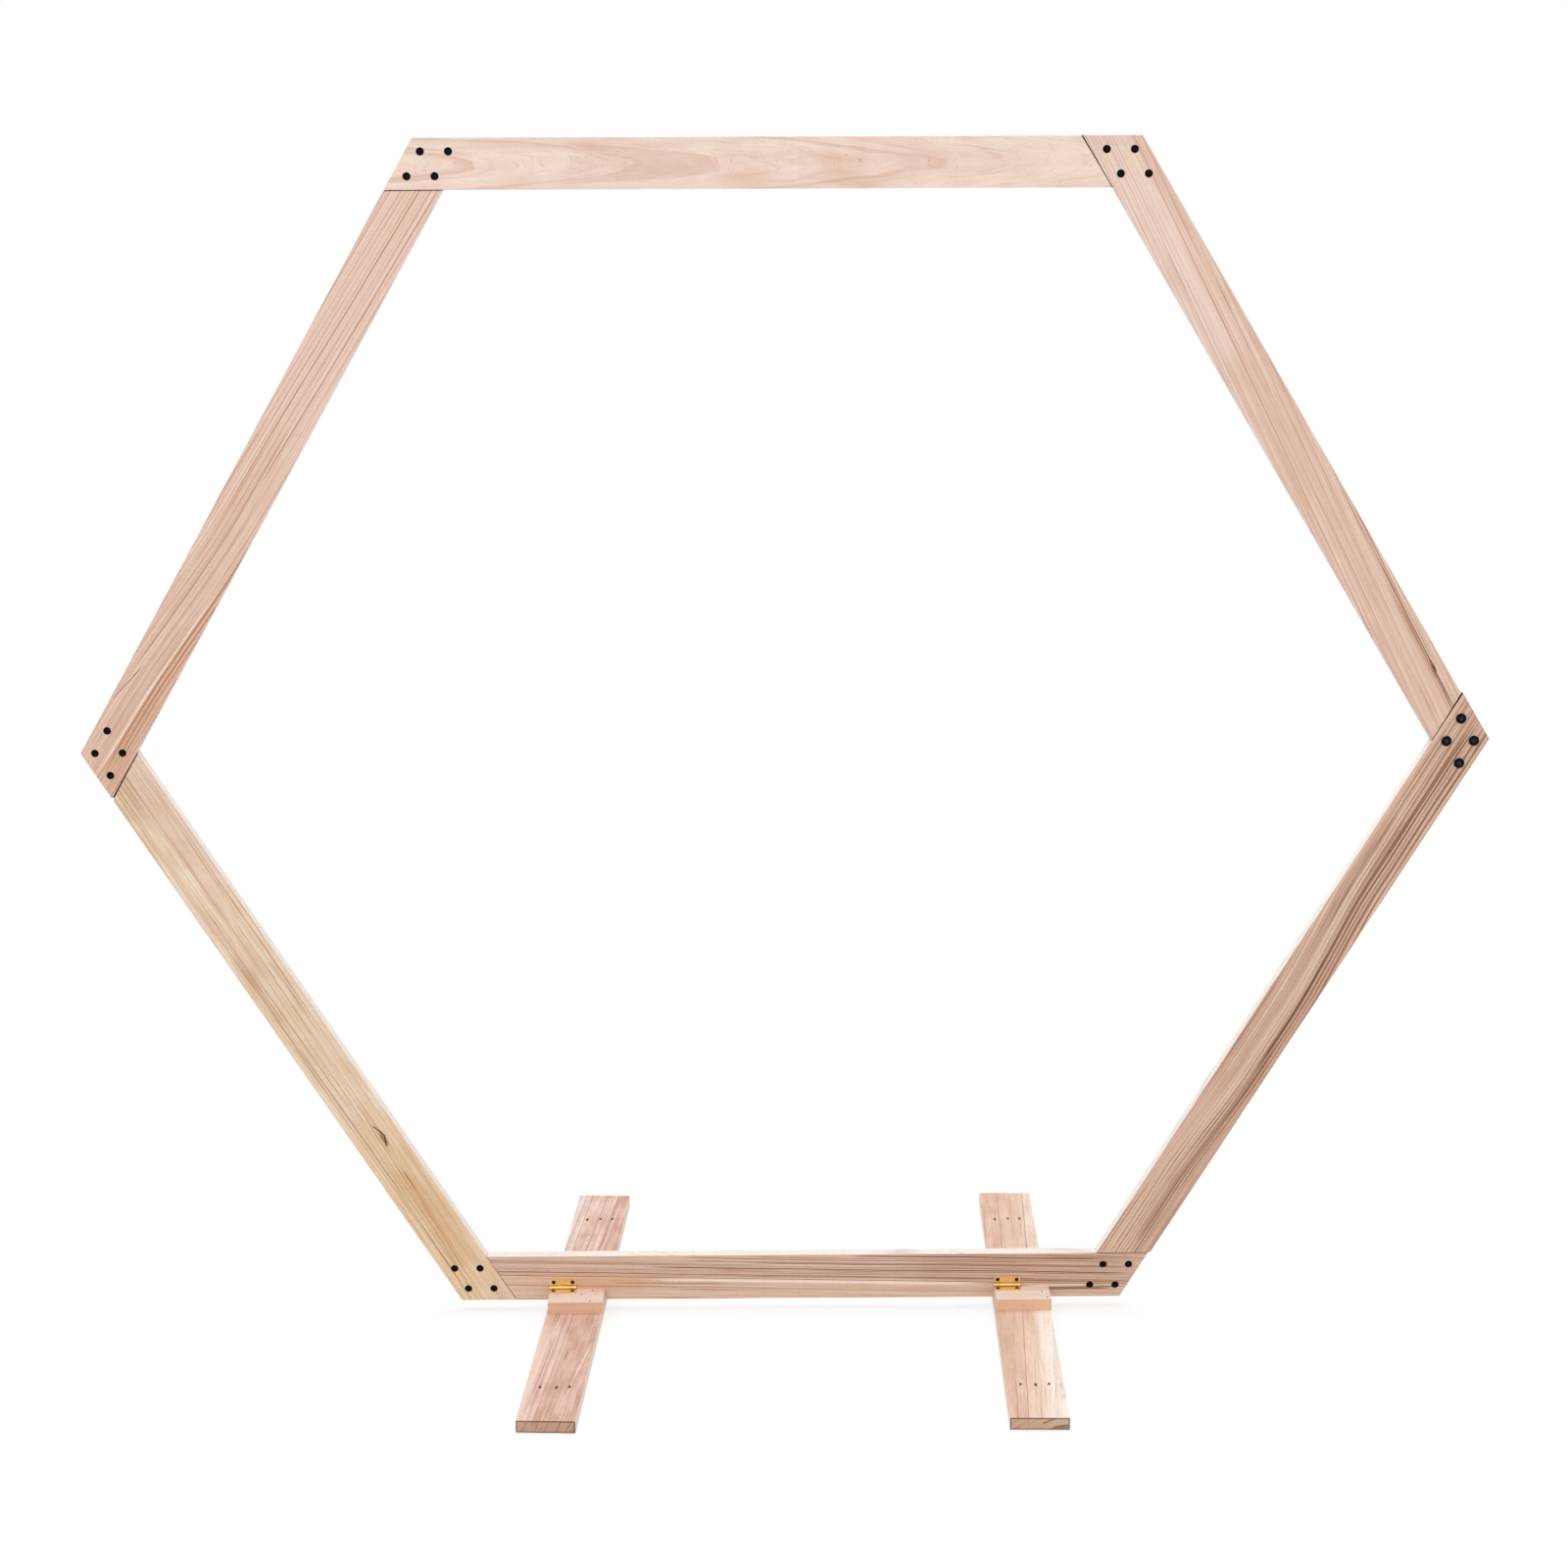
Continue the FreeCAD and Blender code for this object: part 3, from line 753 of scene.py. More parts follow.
# %% The bottom board
looks["bottom_board"] = dict(
    light=(240, 209, 189), middle=(221, 184, 161), dark=(146, 92, 66), ring=0.0058,
    pith=(-0.15, 0.02), lean=(0.0215, 0.0), lines=0.75, hair=0.95, seed=7.7, wave=0.003,
    stripes=0.35, joints=[(0.0198, 0.0215, -0.1, 1.1, 1.6)], edge=(240, 235, 230),
    strip_tones=[((239, 207, 183), (226, 188, 161)), ((236, 204, 184), (217, 180, 158))],
    veins=[(0.0252, 0.0215, 0.0011, 0.1, 1.0, 0.9, (136, 90, 70)),
           (0.0367, 0.0215, 0.0013, -0.04, 0.75, 1.0, (116, 76, 60)),
           (0.0404, 0.0215, 0.0009, 0.1, 1.03, 0.65, (130, 88, 70)),
           (0.0457, 0.0215, 0.0011, -0.04, 0.6, 0.9, (132, 88, 68)),
           (0.0315, 0.0215, 0.0009, 0.3, 1.03, 0.6, (142, 96, 76)),
           (0.0425, 0.0215, 0.001, 0.5, 1.03, 0.6, (134, 88, 70)),
           (0.0597, 0.0215, 0.0015, 0.0, 0.44, 0.95, (122, 78, 60)),
           (0.0525, 0.0215, 0.0012, 0.1, 0.7, 0.75, (138, 92, 72)),
           (0.048, 0.0215, 0.0009, -0.04, 0.7, 0.75, (140, 94, 76)),
           (0.0555, 0.0215, 0.0008, -0.04, 0.6, 0.9, (138, 92, 74)),
           (0.034, 0.0215, 0.0008, -0.04, 0.5, 0.9, (136, 90, 72)),
           (0.0225, 0.0215, 0.0009, -0.04, 0.2, 0.9, (132, 86, 68)),
           (0.0168, 0.0215, 0.0042, 0.18, 0.74, 1.0, (252, 234, 216)),
           (0.0142, 0.0, 0.0013, -0.04, 0.2, 1.0, (134, 82, 62)),
           (0.0118, 0.0, 0.0017, 0.0, 0.14, 0.9, (122, 72, 52)),
           (0.0182, 0.0, 0.0013, 0.03, 0.16, 0.9, (248, 230, 212)),
           (-0.004, 0.0215, 0.0025, 0.18, 0.5, 0.6, (196, 148, 118))],
    patches=[(0.68, 0.92, 0.012, 0.036, 0.5, (226, 172, 130)),
             (-0.06, 0.34, 0.02, 0.09, 0.5, (204, 164, 142))])
print("bottom board:", len(looks["bottom_board"]["strip_tones"]), "strips")

# %% [markdown]
# The lower left board is yellower than the rest, with fine lines and a brown knot. Two
# short checks meet at the knot in a V.

# %% The lower left board
looks["lower_left_board"] = dict(
    light=(250, 230, 206), middle=(231, 199, 168), dark=(178, 124, 84), ring=0.0085,
    pith=(-0.11, 0.03), lean=(0.008, 0.0), lines=0.42, hair=1.25, stripes=0.45, seed=9.4,
    mottle=0.9, wave=0.005, edge=(237, 229, 224),
    checks=[(-0.0742, 0.43, 0.0017, 0.264, 0.286), (0.1381, -0.32, 0.0014, 0.28, 0.306)],
    veins=[(0.018, 0.0, 0.0008, 0.84, 1.03, 0.9, (170, 128, 98)),
           (0.0245, 0.0, 0.0008, 0.86, 1.03, 0.9, (170, 128, 98)),
           (0.030, 0.0, 0.0008, 0.84, 1.03, 0.8, (174, 132, 102)),
           (0.036, 0.0, 0.0008, 0.86, 1.03, 0.8, (170, 128, 98)),
           (0.020, -0.012, 0.0011, 0.16, 0.5, 0.8, (170, 124, 90)),
           (0.014, -0.01, 0.001, 0.1, 0.5, 0.7, (182, 138, 104)),
           (0.030, -0.012, 0.0011, 0.3, 0.64, 0.7, (180, 136, 104)),
           (0.0395, 0.006, 0.0022, 0.14, 0.24, 0.8, (196, 138, 92)),
           (0.0285, 0.05, 0.0013, 0.0, 0.22, 0.9, (196, 140, 94)),
           (0.0215, 0.045, 0.001, -0.02, 0.18, 0.8, (200, 146, 102)),
           (0.0345, 0.03, 0.001, 0.02, 0.2, 0.7, (198, 142, 96)),
           (0.04, 0.0, 0.0011, 0.18, 0.225, 1.0, (164, 108, 70))],
    knots=[(0.279, 0.0436, 0.017, 0.0048, 0.9, (166, 114, 80))],
    patches=[(-0.06, 0.34, -0.02, 0.09, 0.5, (238, 200, 154)),
             (0.03, 0.25, 0.028, 0.05, 0.5, (216, 164, 112)),
             (0.34, 0.62, -0.02, 0.09, 0.3, (234, 205, 168)),
             (0.55, 0.64, 0.014, 0.036, 0.5, (208, 172, 136)),
             (0.7, 1.06, 0.04, 0.09, 0.5, (234, 204, 186)),
             (0.84, 1.06, 0.006, 0.04, 0.35, (212, 176, 146))])
print("lower left board: a knot", looks["lower_left_board"]["knots"][0][0], "m along")

# %% [markdown]
# The upper left board has a bundle of reddish lines at its lower end, which drifts
# across the board as it rises, and turns paler towards the top.

# %% The upper left board
looks["upper_left_board"] = dict(
    light=(246, 217, 200), middle=(225, 186, 163), dark=(182, 124, 92), ring=0.0062,
    pith=(-0.12, 0.03), lean=(0.05, 0.0), lines=0.75, hair=1.0, stripes=0.52, seed=11.6,
    sweeps=[(0.08, 0.42, 0.018)],
    veins=[(0.0355, 0.035, 0.0026, -0.04, 0.34, 1.0, (253, 236, 222)),
           (0.041, 0.03, 0.0019, -0.04, 0.45, 1.0, (190, 132, 96)),
           (0.048, 0.03, 0.0018, -0.04, 0.4, 1.0, (190, 134, 100)),
           (0.054, 0.03, 0.003, -0.04, 0.3, 1.0, (198, 142, 108)),
           (-0.0147, 0.19, 0.0009, 0.085, 0.17, 1.0, (146, 100, 80)),
           (0.002, 0.04, 0.0014, 0.12, 0.6, 0.85, (190, 138, 112)),
           (0.012, 0.045, 0.0022, 0.14, 0.5, 0.7, (204, 154, 128)),
           (-0.022, 0.05, 0.0012, 0.4, 1.0, 0.8, (182, 130, 106)),
           (0.004, 0.045, 0.0013, 0.45, 1.0, 0.8, (186, 134, 110))],
    patches=[(0.5, 1.06, -0.02, 0.09, 0.6, (242, 212, 196)),
             (-0.06, 0.3, 0.038, 0.09, 0.5, (222, 176, 148))])
print("upper left board:", len(looks["upper_left_board"]["veins"]), "veins")

# %% [markdown]
# The front half of each board's end is cut away for the next board's tongue, and the
# seam runs where the inner edge of that board meets it. In the board's frame the seam
# is a line through the inner corner of the hexagon, sloping by the turn of the corner.
# Its darkness is wider at the corners where the photographed joints gape.

# %% Seams and board materials
# each board's seam gets a dark line of painted shadow over the narrow gap; these are the half
# widths, one a board
SEAM_SHADOW_WIDTHS = (0.0018, 0.0018, 0.0009, 0.0009, 0.0026, 0.0018)
SEAM_LEAD = 0.01
for number, board in enumerate(BOARDS):
    turn = corner_turn(number)
    meets = SIDE - BOARD_WIDTH / math.sin(turn)
    seam_shadow = (-meets * math.tan(turn), math.tan(turn), SEAM_SHADOW_WIDTHS[number] / math.cos(turn),
            meets - SEAM_LEAD, SIDE)
    looks[board]["checks"] = looks[board].get("checks", []) + [seam_shadow]
    dress(timber[board], wood(board + "_wood", bench[board],
                              lapped=corner_turn(number - 1), **looks[board]))
    print(board, len(timber[board].data.materials[0].node_tree.nodes), "nodes")

# %% [markdown]
# ### Feet and cleats
# Each foot is edge-glued from four strips, so it has three glue lines, a little askew.
# The strips are pinker than the boards. On the right foot the outer one is nearly
# cream. Three brads cross each foot near either end, and each sits in a dimple that is
# stretched along the grain.

# %% Where the brads sit in the feet
BRADS_ON_FEET = {
    "left": [(-0.302, 0.0202), (-0.303, -0.0031), (-0.301, -0.0213),
             (0.301, 0.0180), (0.304, -0.0035), (0.304, -0.0220)],
    "right": [(-0.302, 0.0202), (-0.304, -0.0011), (-0.302, -0.0202),
              (0.293, 0.0222), (0.295, 0.0007), (0.2945, -0.0182)],
}
FOOT_RIM = (0.04125, 0.018)
foot_looks = {}
for side, spots in BRADS_ON_FEET.items():
    print(side, "foot:", len(spots), "brads")

# %% The left foot
foot_looks["left_foot"] = dict(
    dark=(150, 96, 78), ring=0.013, pith=(-0.13, -0.05), lean=(-0.05, 0.0), lines=0.5,
    hair=0.8, mottle=1.3, stripes=0.35, wave=0.005, seed=13.2, edge=(246, 228, 214),
    end=(206, 168, 136), light=(240, 208, 194), middle=(216, 176, 160),
    rim=FOOT_RIM,
    joints=[(-0.0022, -0.0535, 0.0, 0.45, 0.8), (0.0168, -0.057, -0.1, 0.45, 0.85),
            (0.0355, -0.0387, -0.02, 0.45, 0.85)],
    strip_tones=[((225, 186, 169), (200, 155, 138)), ((238, 206, 191), (214, 173, 157)),
                 ((235, 203, 188), (210, 169, 153)), ((246, 227, 215), (235, 211, 198))],
    veins=[(-0.0564, -0.11, 0.0022, -0.41, -0.12, 0.7, (246, 220, 206)),
           (-0.0085, -0.0535, 0.0012, 0.02, 0.41, 0.8, (240, 214, 200)),
           (-0.0042, -0.0535, 0.0009, 0.02, 0.41, 0.8, (170, 118, 100)),
           (0.022, -0.05, 0.004, -0.4, -0.08, 0.55, (248, 224, 210)),
           (-0.013, -0.04, 0.0009, -0.222, -0.176, 1.0, (104, 62, 46)),
           (0.012, -0.06, 0.0016, -0.32, -0.1, 0.5, (176, 126, 108))],
    patches=[(-0.45, -0.08, 0.03, 0.05, 0.5, (244, 218, 204)),
             (-0.3, -0.1, 0.0, 0.024, 0.4, (238, 208, 196))])
print("left foot:", len(foot_looks["left_foot"]["strip_tones"]), "strips")

# %% The right foot
foot_looks["right_foot"] = dict(
    dark=(160, 108, 82), ring=0.013, pith=(-0.06, -0.075), lean=(-0.04, 0.0), lines=0.45,
    hair=0.6, mottle=1.0, stripes=0.3, wave=0.005, seed=15.9, edge=(248, 232, 218),
    end=(214, 178, 146), end_dark=0.95, light=(244, 216, 197), middle=(228, 192, 170),
    rim=FOOT_RIM,
    joints=[(-0.0167, -0.031, 0.0, 0.45, 0.8), (-0.002, -0.044, -0.45, -0.05, 0.85),
            (0.0204, -0.019, 0.0, 0.45, 0.75)],
    strip_tones=[((243, 221, 204), (228, 199, 179)), ((234, 204, 183), (217, 181, 157)),
                 ((230, 197, 175), (211, 172, 148)), ((226, 192, 170), (205, 163, 138))],
    veins=[(0.0306, -0.01, 0.0022, 0.0, 0.42, 0.55, (206, 158, 128)),
           (-0.004, -0.02, 0.008, 0.02, 0.45, 0.5, (228, 190, 162)),
           (0.031, -0.02, 0.0022, -0.42, -0.08, 0.45, (214, 168, 140)),
           (0.012, -0.03, 0.0055, -0.3, -0.1, 0.5, (222, 180, 156)),
           (-0.026, 0.11, 0.0016, -0.22, -0.1, 0.7, (222, 184, 168))],
    patches=[(-0.45, 0.0, -0.05, -0.018, 0.75, (252, 240, 228)),
             (-0.45, -0.1, -0.016, 0.0, 0.4, (245, 219, 199))])
print("right foot:", len(foot_looks["right_foot"]["strip_tones"]), "strips")

# %% [markdown]
# The cleats are short blocks whose grain runs along the arch. Close, straight rings
# are all that they show, so they need no veins of their own. Their tops are painted
# lighter than their fronts, which take the darker `edge` colour, for the light that
# falls from above.

# %% The cleats
foot_looks["left_cleat"] = dict(
    light=(247, 225, 210), middle=(238, 210, 193), ring=0.0048, seed=17.5,
    pith=(-0.07, 0.06), lines=0.6, dark=(186, 136, 108), stripes=0.5, hair=0.35,
    edge=(229, 184, 152), end=(246, 226, 208), wave=0.0016)
foot_looks["right_cleat"] = dict(
    light=(249, 229, 213), middle=(240, 214, 197), ring=0.0048, seed=19.1,
    pith=(-0.06, 0.07), lines=0.65, dark=(184, 132, 102), stripes=0.5, hair=0.35,
    edge=(231, 188, 157), end=(246, 228, 212), wave=0.0016)
print("cleats: rings", foot_looks["left_cleat"]["ring"], "m apart")

# %% Foot and cleat materials
for side in FOOT_SWING:
    foot_looks[side + "_foot"]["dents"] = [
        (along + 0.0006 * (number % 3), across, 0.0052 + 0.001 * (number % 2))
        for number, (along, across) in enumerate(BRADS_ON_FEET[side])]
for node, look in foot_looks.items():
    dress(timber[node], wood(node + "_wood", bench[node], **look))
    print(node, len(timber[node].data.materials[0].node_tree.nodes), "nodes")

# %% [markdown]
# ## Metal
# The bolts are black, the hinges are bright brass plate and the sleeves behind the
# boards are zinc plated. A plated part is nearly one colour, so what makes it read as
# metal is roughness that varies: smears, fine scratches and dull spots. The brass gets a
# painted shade in the crease beside the hinge's knuckle, where shade falls, so the
# finish measures how far a point is from the pin. A black head has a lighter socket where
# the key goes in, partly rubbed bare and partly a painted glint: the lathe below marks
# that in an attribute, `worn`.

# %% A plated finish
PIN_Y, PIN_Z, KNUCKLE = -0.0098, 0.0388, 0.0025
SMEAR = 225
SCRATCH_LONG, SCRATCH_FINE = 360, 3600


def metal(name, base, worn, rough, metallic=1.0, gloss=0.5, wear_and_glint=None, crease_shade=None):
    """Plated or blackened metal with smears, fine scratches, and a socket made lighter by wear
    and a painted glint.
    """
    wire, shader, material = finish(name)
    here = wire.node("ShaderNodeTexCoord")["Object"]
    apart = wire.node("ShaderNodeSeparateXYZ", Vector=here)
    smears = wire.cloud(here, scale=SMEAR, detail=3)
    scratches = wire.cloud(wire.point(apart["X"] * SCRATCH_LONG, apart["Y"] * SCRATCH_FINE,
                                      apart["Z"] * SCRATCH_FINE))
    shade = wire.tint(smears.rise(0.45, 0.75) * 0.55, colour(*base), colour(*worn))
    if crease_shade:
        # painted shade in the crease beside the knuckle, where shade falls
        from_pin = distance(apart["Y"] - PIN_Y, apart["Z"] - PIN_Z)
        crease_shadow_mask = (from_pin.rise(KNUCKLE + 0.00003, KNUCKLE + 0.0002)
                  * (1 - from_pin.rise(KNUCKLE + 0.0006, KNUCKLE + 0.0014)))
        shade = wire.tint(crease_shadow_mask * 0.85, shade, colour(*crease_shade))
    if wear_and_glint:
        # the socket is lighter: partly worn, partly a painted glint
        wear_and_glint_mask = wire.node("ShaderNodeAttribute", {"attribute_name": "worn"})["Fac"]
        shade = wire.tint(wear_and_glint_mask * 0.9, shade, colour(*wear_and_glint))
    bump = wire.node("ShaderNodeBump", Height=scratches, Strength=0.15, Distance=0.00005)
    roughness = rough + (smears - 0.5) * 0.25 + (scratches - 0.5) * 0.15
    plug(wire, shader, shade, roughness, bump)
    shader.inputs["Metallic"].default_value = metallic
    shader.inputs["Specular IOR Level"].default_value = gloss
    return material


print("the hinge pin runs at y", PIN_Y, "and z", PIN_Z)

# %% Six metal finishes
brass = metal("bright_brass", (236, 203, 138), (206, 156, 78), 0.34, crease_shade=(84, 56, 22))
black = metal("blackened_steel", (1, 1, 1), (5, 4, 4), 0.36, metallic=0.0, gloss=0.06,
              wear_and_glint=(24, 21, 17))
# the caps' sockets get a bluish painted highlight
caps = metal("blackened_caps", (1, 2, 2), (8, 10, 10), 0.36, metallic=0.0, gloss=0.09,
             wear_and_glint=(58, 66, 70))
antique = metal("antiqued_steel", (15, 13, 11), (34, 28, 20), 0.42, metallic=0.0, gloss=0.2,
                wear_and_glint=(40, 34, 26))
zinc = metal("zinc_plate", (186, 187, 186), (160, 160, 158), 0.34)
nail_steel = metal("nail_steel", (74, 58, 50), (48, 40, 36), 0.5, metallic=0.6)

for side in FOOT_SWING:
    for part in ("_hinge_frame_leaf", "_hinge_foot_leaf", "_hinge_pin"):
        dress(frame["nodes"][side + part], brass)
        print(side + part, "in brass")

# %% [markdown]
# ## Fixings that repeat
# Twenty socket-head bolts, four capped ones, eight hinge screws and a handful of brads
# are each one shape many times over. The shape is turned on a lathe in code, from rings
# of points, and a Geometry Nodes tree sets a copy of it on every point of a small mesh,
# with a random turn about its own axis, so that the hexagon sockets don't line up.
#
# A ring may be other than round: a hexagon, for a socket, a cross, for a screw's slots,
# or knurled, for the side of a bolt head. The reach of the ring then changes with the
# angle, and the rest of the lathe stays as it is.

# %% A lathe
CREASE = math.radians(32)
KNURL = 0.02
SLOT = 0.22


def reach(radius, kind, step, angle):
    """How far a ring of a kind reaches at one of its steps."""
    if kind == "hexagon":
        return radius * math.cos(math.pi / 6) / math.cos(angle % (math.pi / 3) - math.pi / 6)
    if kind == "cross":
        turn = (abs(math.cos(angle)), abs(math.sin(angle)))
        return min(radius / max(turn), SLOT * radius / max(min(turn), 0.01))
    if kind == "knurled":
        return radius * (1 - KNURL * (step % 2))
    return radius


def turned(name, rings, around=48):
    """A closed turned shape. Each ring is (radius, height) or (radius, height, kind)."""
    shape = bmesh.new()
    worn = shape.verts.layers.float.new("worn")
    loops = []
    for radius, height, *kinds in rings:
        kind = kinds[0] if kinds else "round"
        loop = []
        for step in range(around):
            angle = 2 * math.pi * step / around
            far = reach(radius, kind, step, angle)
            vertex = shape.verts.new((far * math.cos(angle), far * math.sin(angle), height))
            # the socket and slot rings are marked for their wear and painted glint
            vertex[worn] = float(kind in ("hexagon", "cross") or radius < 0.001)
            loop.append(vertex)
        loops.append(loop)
    for inner, outer in zip(loops, loops[1:]):
        for step in range(around):
            after = (step + 1) % around
            shape.faces.new((inner[step], outer[step], outer[after], inner[after]))
    shape.faces.new(loops[0])
    shape.faces.new(list(reversed(loops[-1])))
    bmesh.ops.recalc_face_normals(shape, faces=shape.faces)
    mesh = bpy.data.meshes.new(name)
    shape.to_mesh(mesh)
    shape.free()
    smoothed(mesh, CREASE)
    return put(name, mesh)


print("a hexagon of 1 mm reaches", round(reach(1.0, "hexagon", 0, math.pi / 6), 3),
      "mm at the middle of a flat")

# %% [markdown]
# The tree has six named inputs: the points, the fixing, the way it faces, the most that
# it may turn, the seed of that turn, and the finish. It ends in Realize Instances and
# Set Material, so that what comes out is a plain mesh.

# %% The tree that repeats
def fixing_tree():
    """Copies of one fixing on every point, each with its own turn."""
    tree = bpy.data.node_groups.new("Fixings on points", "GeometryNodeTree")
    for name, kind in (("Places", "Geometry"), ("Fixing", "Object"), ("Facing", "Rotation"),
                       ("Most turn", "Float"), ("Seed", "Int"), ("Finish", "Material")):
        tree.interface.new_socket(name, in_out="INPUT", socket_type="NodeSocket" + kind)
    tree.interface.new_socket("Fixings", in_out="OUTPUT", socket_type="NodeSocketGeometry")
    nodes, link = tree.nodes, tree.links.new
    given = nodes.new("NodeGroupInput")
    fixing = nodes.new("GeometryNodeObjectInfo")
    link(given.outputs["Fixing"], fixing.inputs["Object"])
    turn = nodes.new("FunctionNodeRandomValue")
    link(given.outputs["Most turn"], turn.inputs[3])
    link(given.outputs["Seed"], turn.inputs["Seed"])
    spin = nodes.new("ShaderNodeCombineXYZ")
    link(turn.outputs[1], spin.inputs["Z"])
    rotate = nodes.new("FunctionNodeRotateRotation")
    rotate.rotation_space = "LOCAL"
    link(given.outputs["Facing"], rotate.inputs["Rotation"])
    link(spin.outputs[0], rotate.inputs["Rotate By"])
    copies = nodes.new("GeometryNodeInstanceOnPoints")
    link(given.outputs["Places"], copies.inputs["Points"])
    link(fixing.outputs["Geometry"], copies.inputs["Instance"])
    link(rotate.outputs[0], copies.inputs["Rotation"])
    real = nodes.new("GeometryNodeRealizeInstances")
    link(copies.outputs[0], real.inputs[0])
    dressed = nodes.new("GeometryNodeSetMaterial")
    link(real.outputs[0], dressed.inputs["Geometry"])
    link(given.outputs["Finish"], dressed.inputs["Material"])
    link(dressed.outputs[0], nodes.new("NodeGroupOutput").inputs[0])
    return tree


FIXINGS = fixing_tree()
MOST_TURN = 6.28
print(FIXINGS.name, "has", len(FIXINGS.nodes), "nodes")


# %% One mesh of many fixings
def repeated(name, fixing, places, facing, finish_used, body, seed):
    """One plain mesh with the fixing at every place, riding on a body."""
    mesh = bpy.data.meshes.new(name + "_places")
    mesh.from_pydata([tuple(place) for place in places], [], [])
    holder = put(name + "_places", mesh)
    modifier = holder.modifiers.new("Fixings", "NODES")
    modifier.node_group = FIXINGS
    values = {"Fixing": fixing, "Facing": Euler(facing), "Most turn": MOST_TURN,
              "Seed": seed, "Finish": finish_used}
    for item in FIXINGS.interface.items_tree:
        if item.in_out == "INPUT" and item.name in values:
            modifier[item.identifier] = values[item.name]
    piece = keep(holder, name)
    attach(piece, body)
    print(piece.name, len(places), "fixings,", len(piece.data.polygons), "faces")
    return piece


# %% [markdown]
# ### Where the fixings go
# The CAD nodes already hold a plain solid for each bolt and screw. The places are
# measured from them: a node's mesh is welded and split into its loose pieces, and each
# piece's box gives the fixing's middle and its ends. A head sits in the middle of its
# solid's front, or on its top where the fixing points down.

# %% Places from the CAD
TO_FRONT = (math.pi / 2, 0, 0)
UPRIGHT = (0, 0, 0)


def islands(node):
    """Lowest and highest corner of each loose solid in a CAD node."""
    shape = welded(node)
    unseen, found = set(shape.verts), []
    while unseen:
        group, waiting = set(), [unseen.pop()]
        while waiting:
            vertex = waiting.pop()
            group.add(vertex)
            for edge in vertex.link_edges:
                other = edge.other_vert(vertex)
                if other in unseen:
                    unseen.discard(other)
                    waiting.append(other)
        places = [vertex.co.copy() for vertex in group]
        found.append(tuple(Vector([pick(p[axis] for p in places) for axis in range(3)])
                           for pick in (min, max)))
    shape.free()
    return sorted(found, key=lambda pair: tuple(pair[0]))


def measured(node, facing):
    """How long the solids of a node are, and where their heads sit."""
    heads = []
    for low, high in islands(node):
        head = (low + high) / 2
        if facing == TO_FRONT:
            head.y, length = low.y, high.y - low.y
        else:
            head.z, length = high.z, high.z - low.z
        heads.append((head, length))
    return heads[0][1], [head for head, _ in heads]


CORNERS = ["top_left", "top_right", "right", "bottom_right", "bottom_left", "left"]
for corner_name in CORNERS:
    length, places = measured(corner_name + "_bolts", TO_FRONT)
    print(corner_name, round(length, 4), "m long at x", [round(p.x, 4) for p in places])

# %% [markdown]
# ### Bolts
# A socket-head bolt has a knurled drum with a chamfered rim and a hexagon hole. At the
# right-hand corner the heads are wide flat caps instead, with a rounded shoulder. The
# lathe takes hexagon and knurled rings, so both are one profile each, from the bottom
# of the socket outwards, over the head and down the shank.

# %% The profile of a bolt
SOCKET, SOCKET_DEEP = 0.0029, 0.002
SHANK = 0.003
HEAD, HEAD_HIGH = 0.0051, 0.004
CAP, CAP_HIGH = 0.0075, 0.0024
LIP = 0.0004


def bolt_profile(length, head, high, rounded):
    """Rings with the top of the head at height 0 and the tip at -length."""
    rings = [(0.0008, -SOCKET_DEEP - 0.0006), (SOCKET - 0.0003, -SOCKET_DEEP, "hexagon"),
             (SOCKET, -SOCKET_DEEP + 0.0002, "hexagon"), (SOCKET, -0.0003, "hexagon"),
             (SOCKET + 0.0003, 0.0)]
    if rounded:
        rings += [(head - 0.0018 * (1 - math.sin(angle)), -0.0016 * (1 - math.cos(angle)))
                  for angle in [math.radians(step) for step in (0, 20, 40, 60, 80, 90)]]
        rings += [(head, -high + LIP), (head - 0.0002, -high)]
    else:
        rings += [(head - LIP, 0.0), (head - 0.0001, -LIP), (head, -LIP * 1.3, "knurled"),
                  (head, -high + LIP, "knurled"), (head - 0.0002, -high)]
    return rings + [(SHANK, -high), (SHANK, -length + 0.0006), (SHANK - 0.0006, -length)]


print("a head is", 2 * HEAD, "m wide and a cap", 2 * CAP)

# %% Turn the bolts
for number, corner_name in enumerate(CORNERS):
    length, places = measured(corner_name + "_bolts", TO_FRONT)
    capped = corner_name == "right"
    head, high, blacked = (CAP, CAP_HIGH, caps) if capped else (HEAD, HEAD_HIGH, black)
    bolt = turned(corner_name + "_bolt", bolt_profile(length, head, high, capped))
    piece = repeated(corner_name + "_bolts_turned", bolt, places, TO_FRONT, blacked,
                     "arch_frame", seed=number + 3)
    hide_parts(corner_name + "_bolts")
    bpy.data.objects.remove(bolt)

# %% [markdown]
# ### Hinge screws
# The CAD screws have flat heads. The real ones are dark wood screws whose heads stand a
# little proud of the leaf and are crowned, so the same lathe and the same tree make them,
# two a leaf. Those in the frame leaf face the front and those in the foot leaf face up.

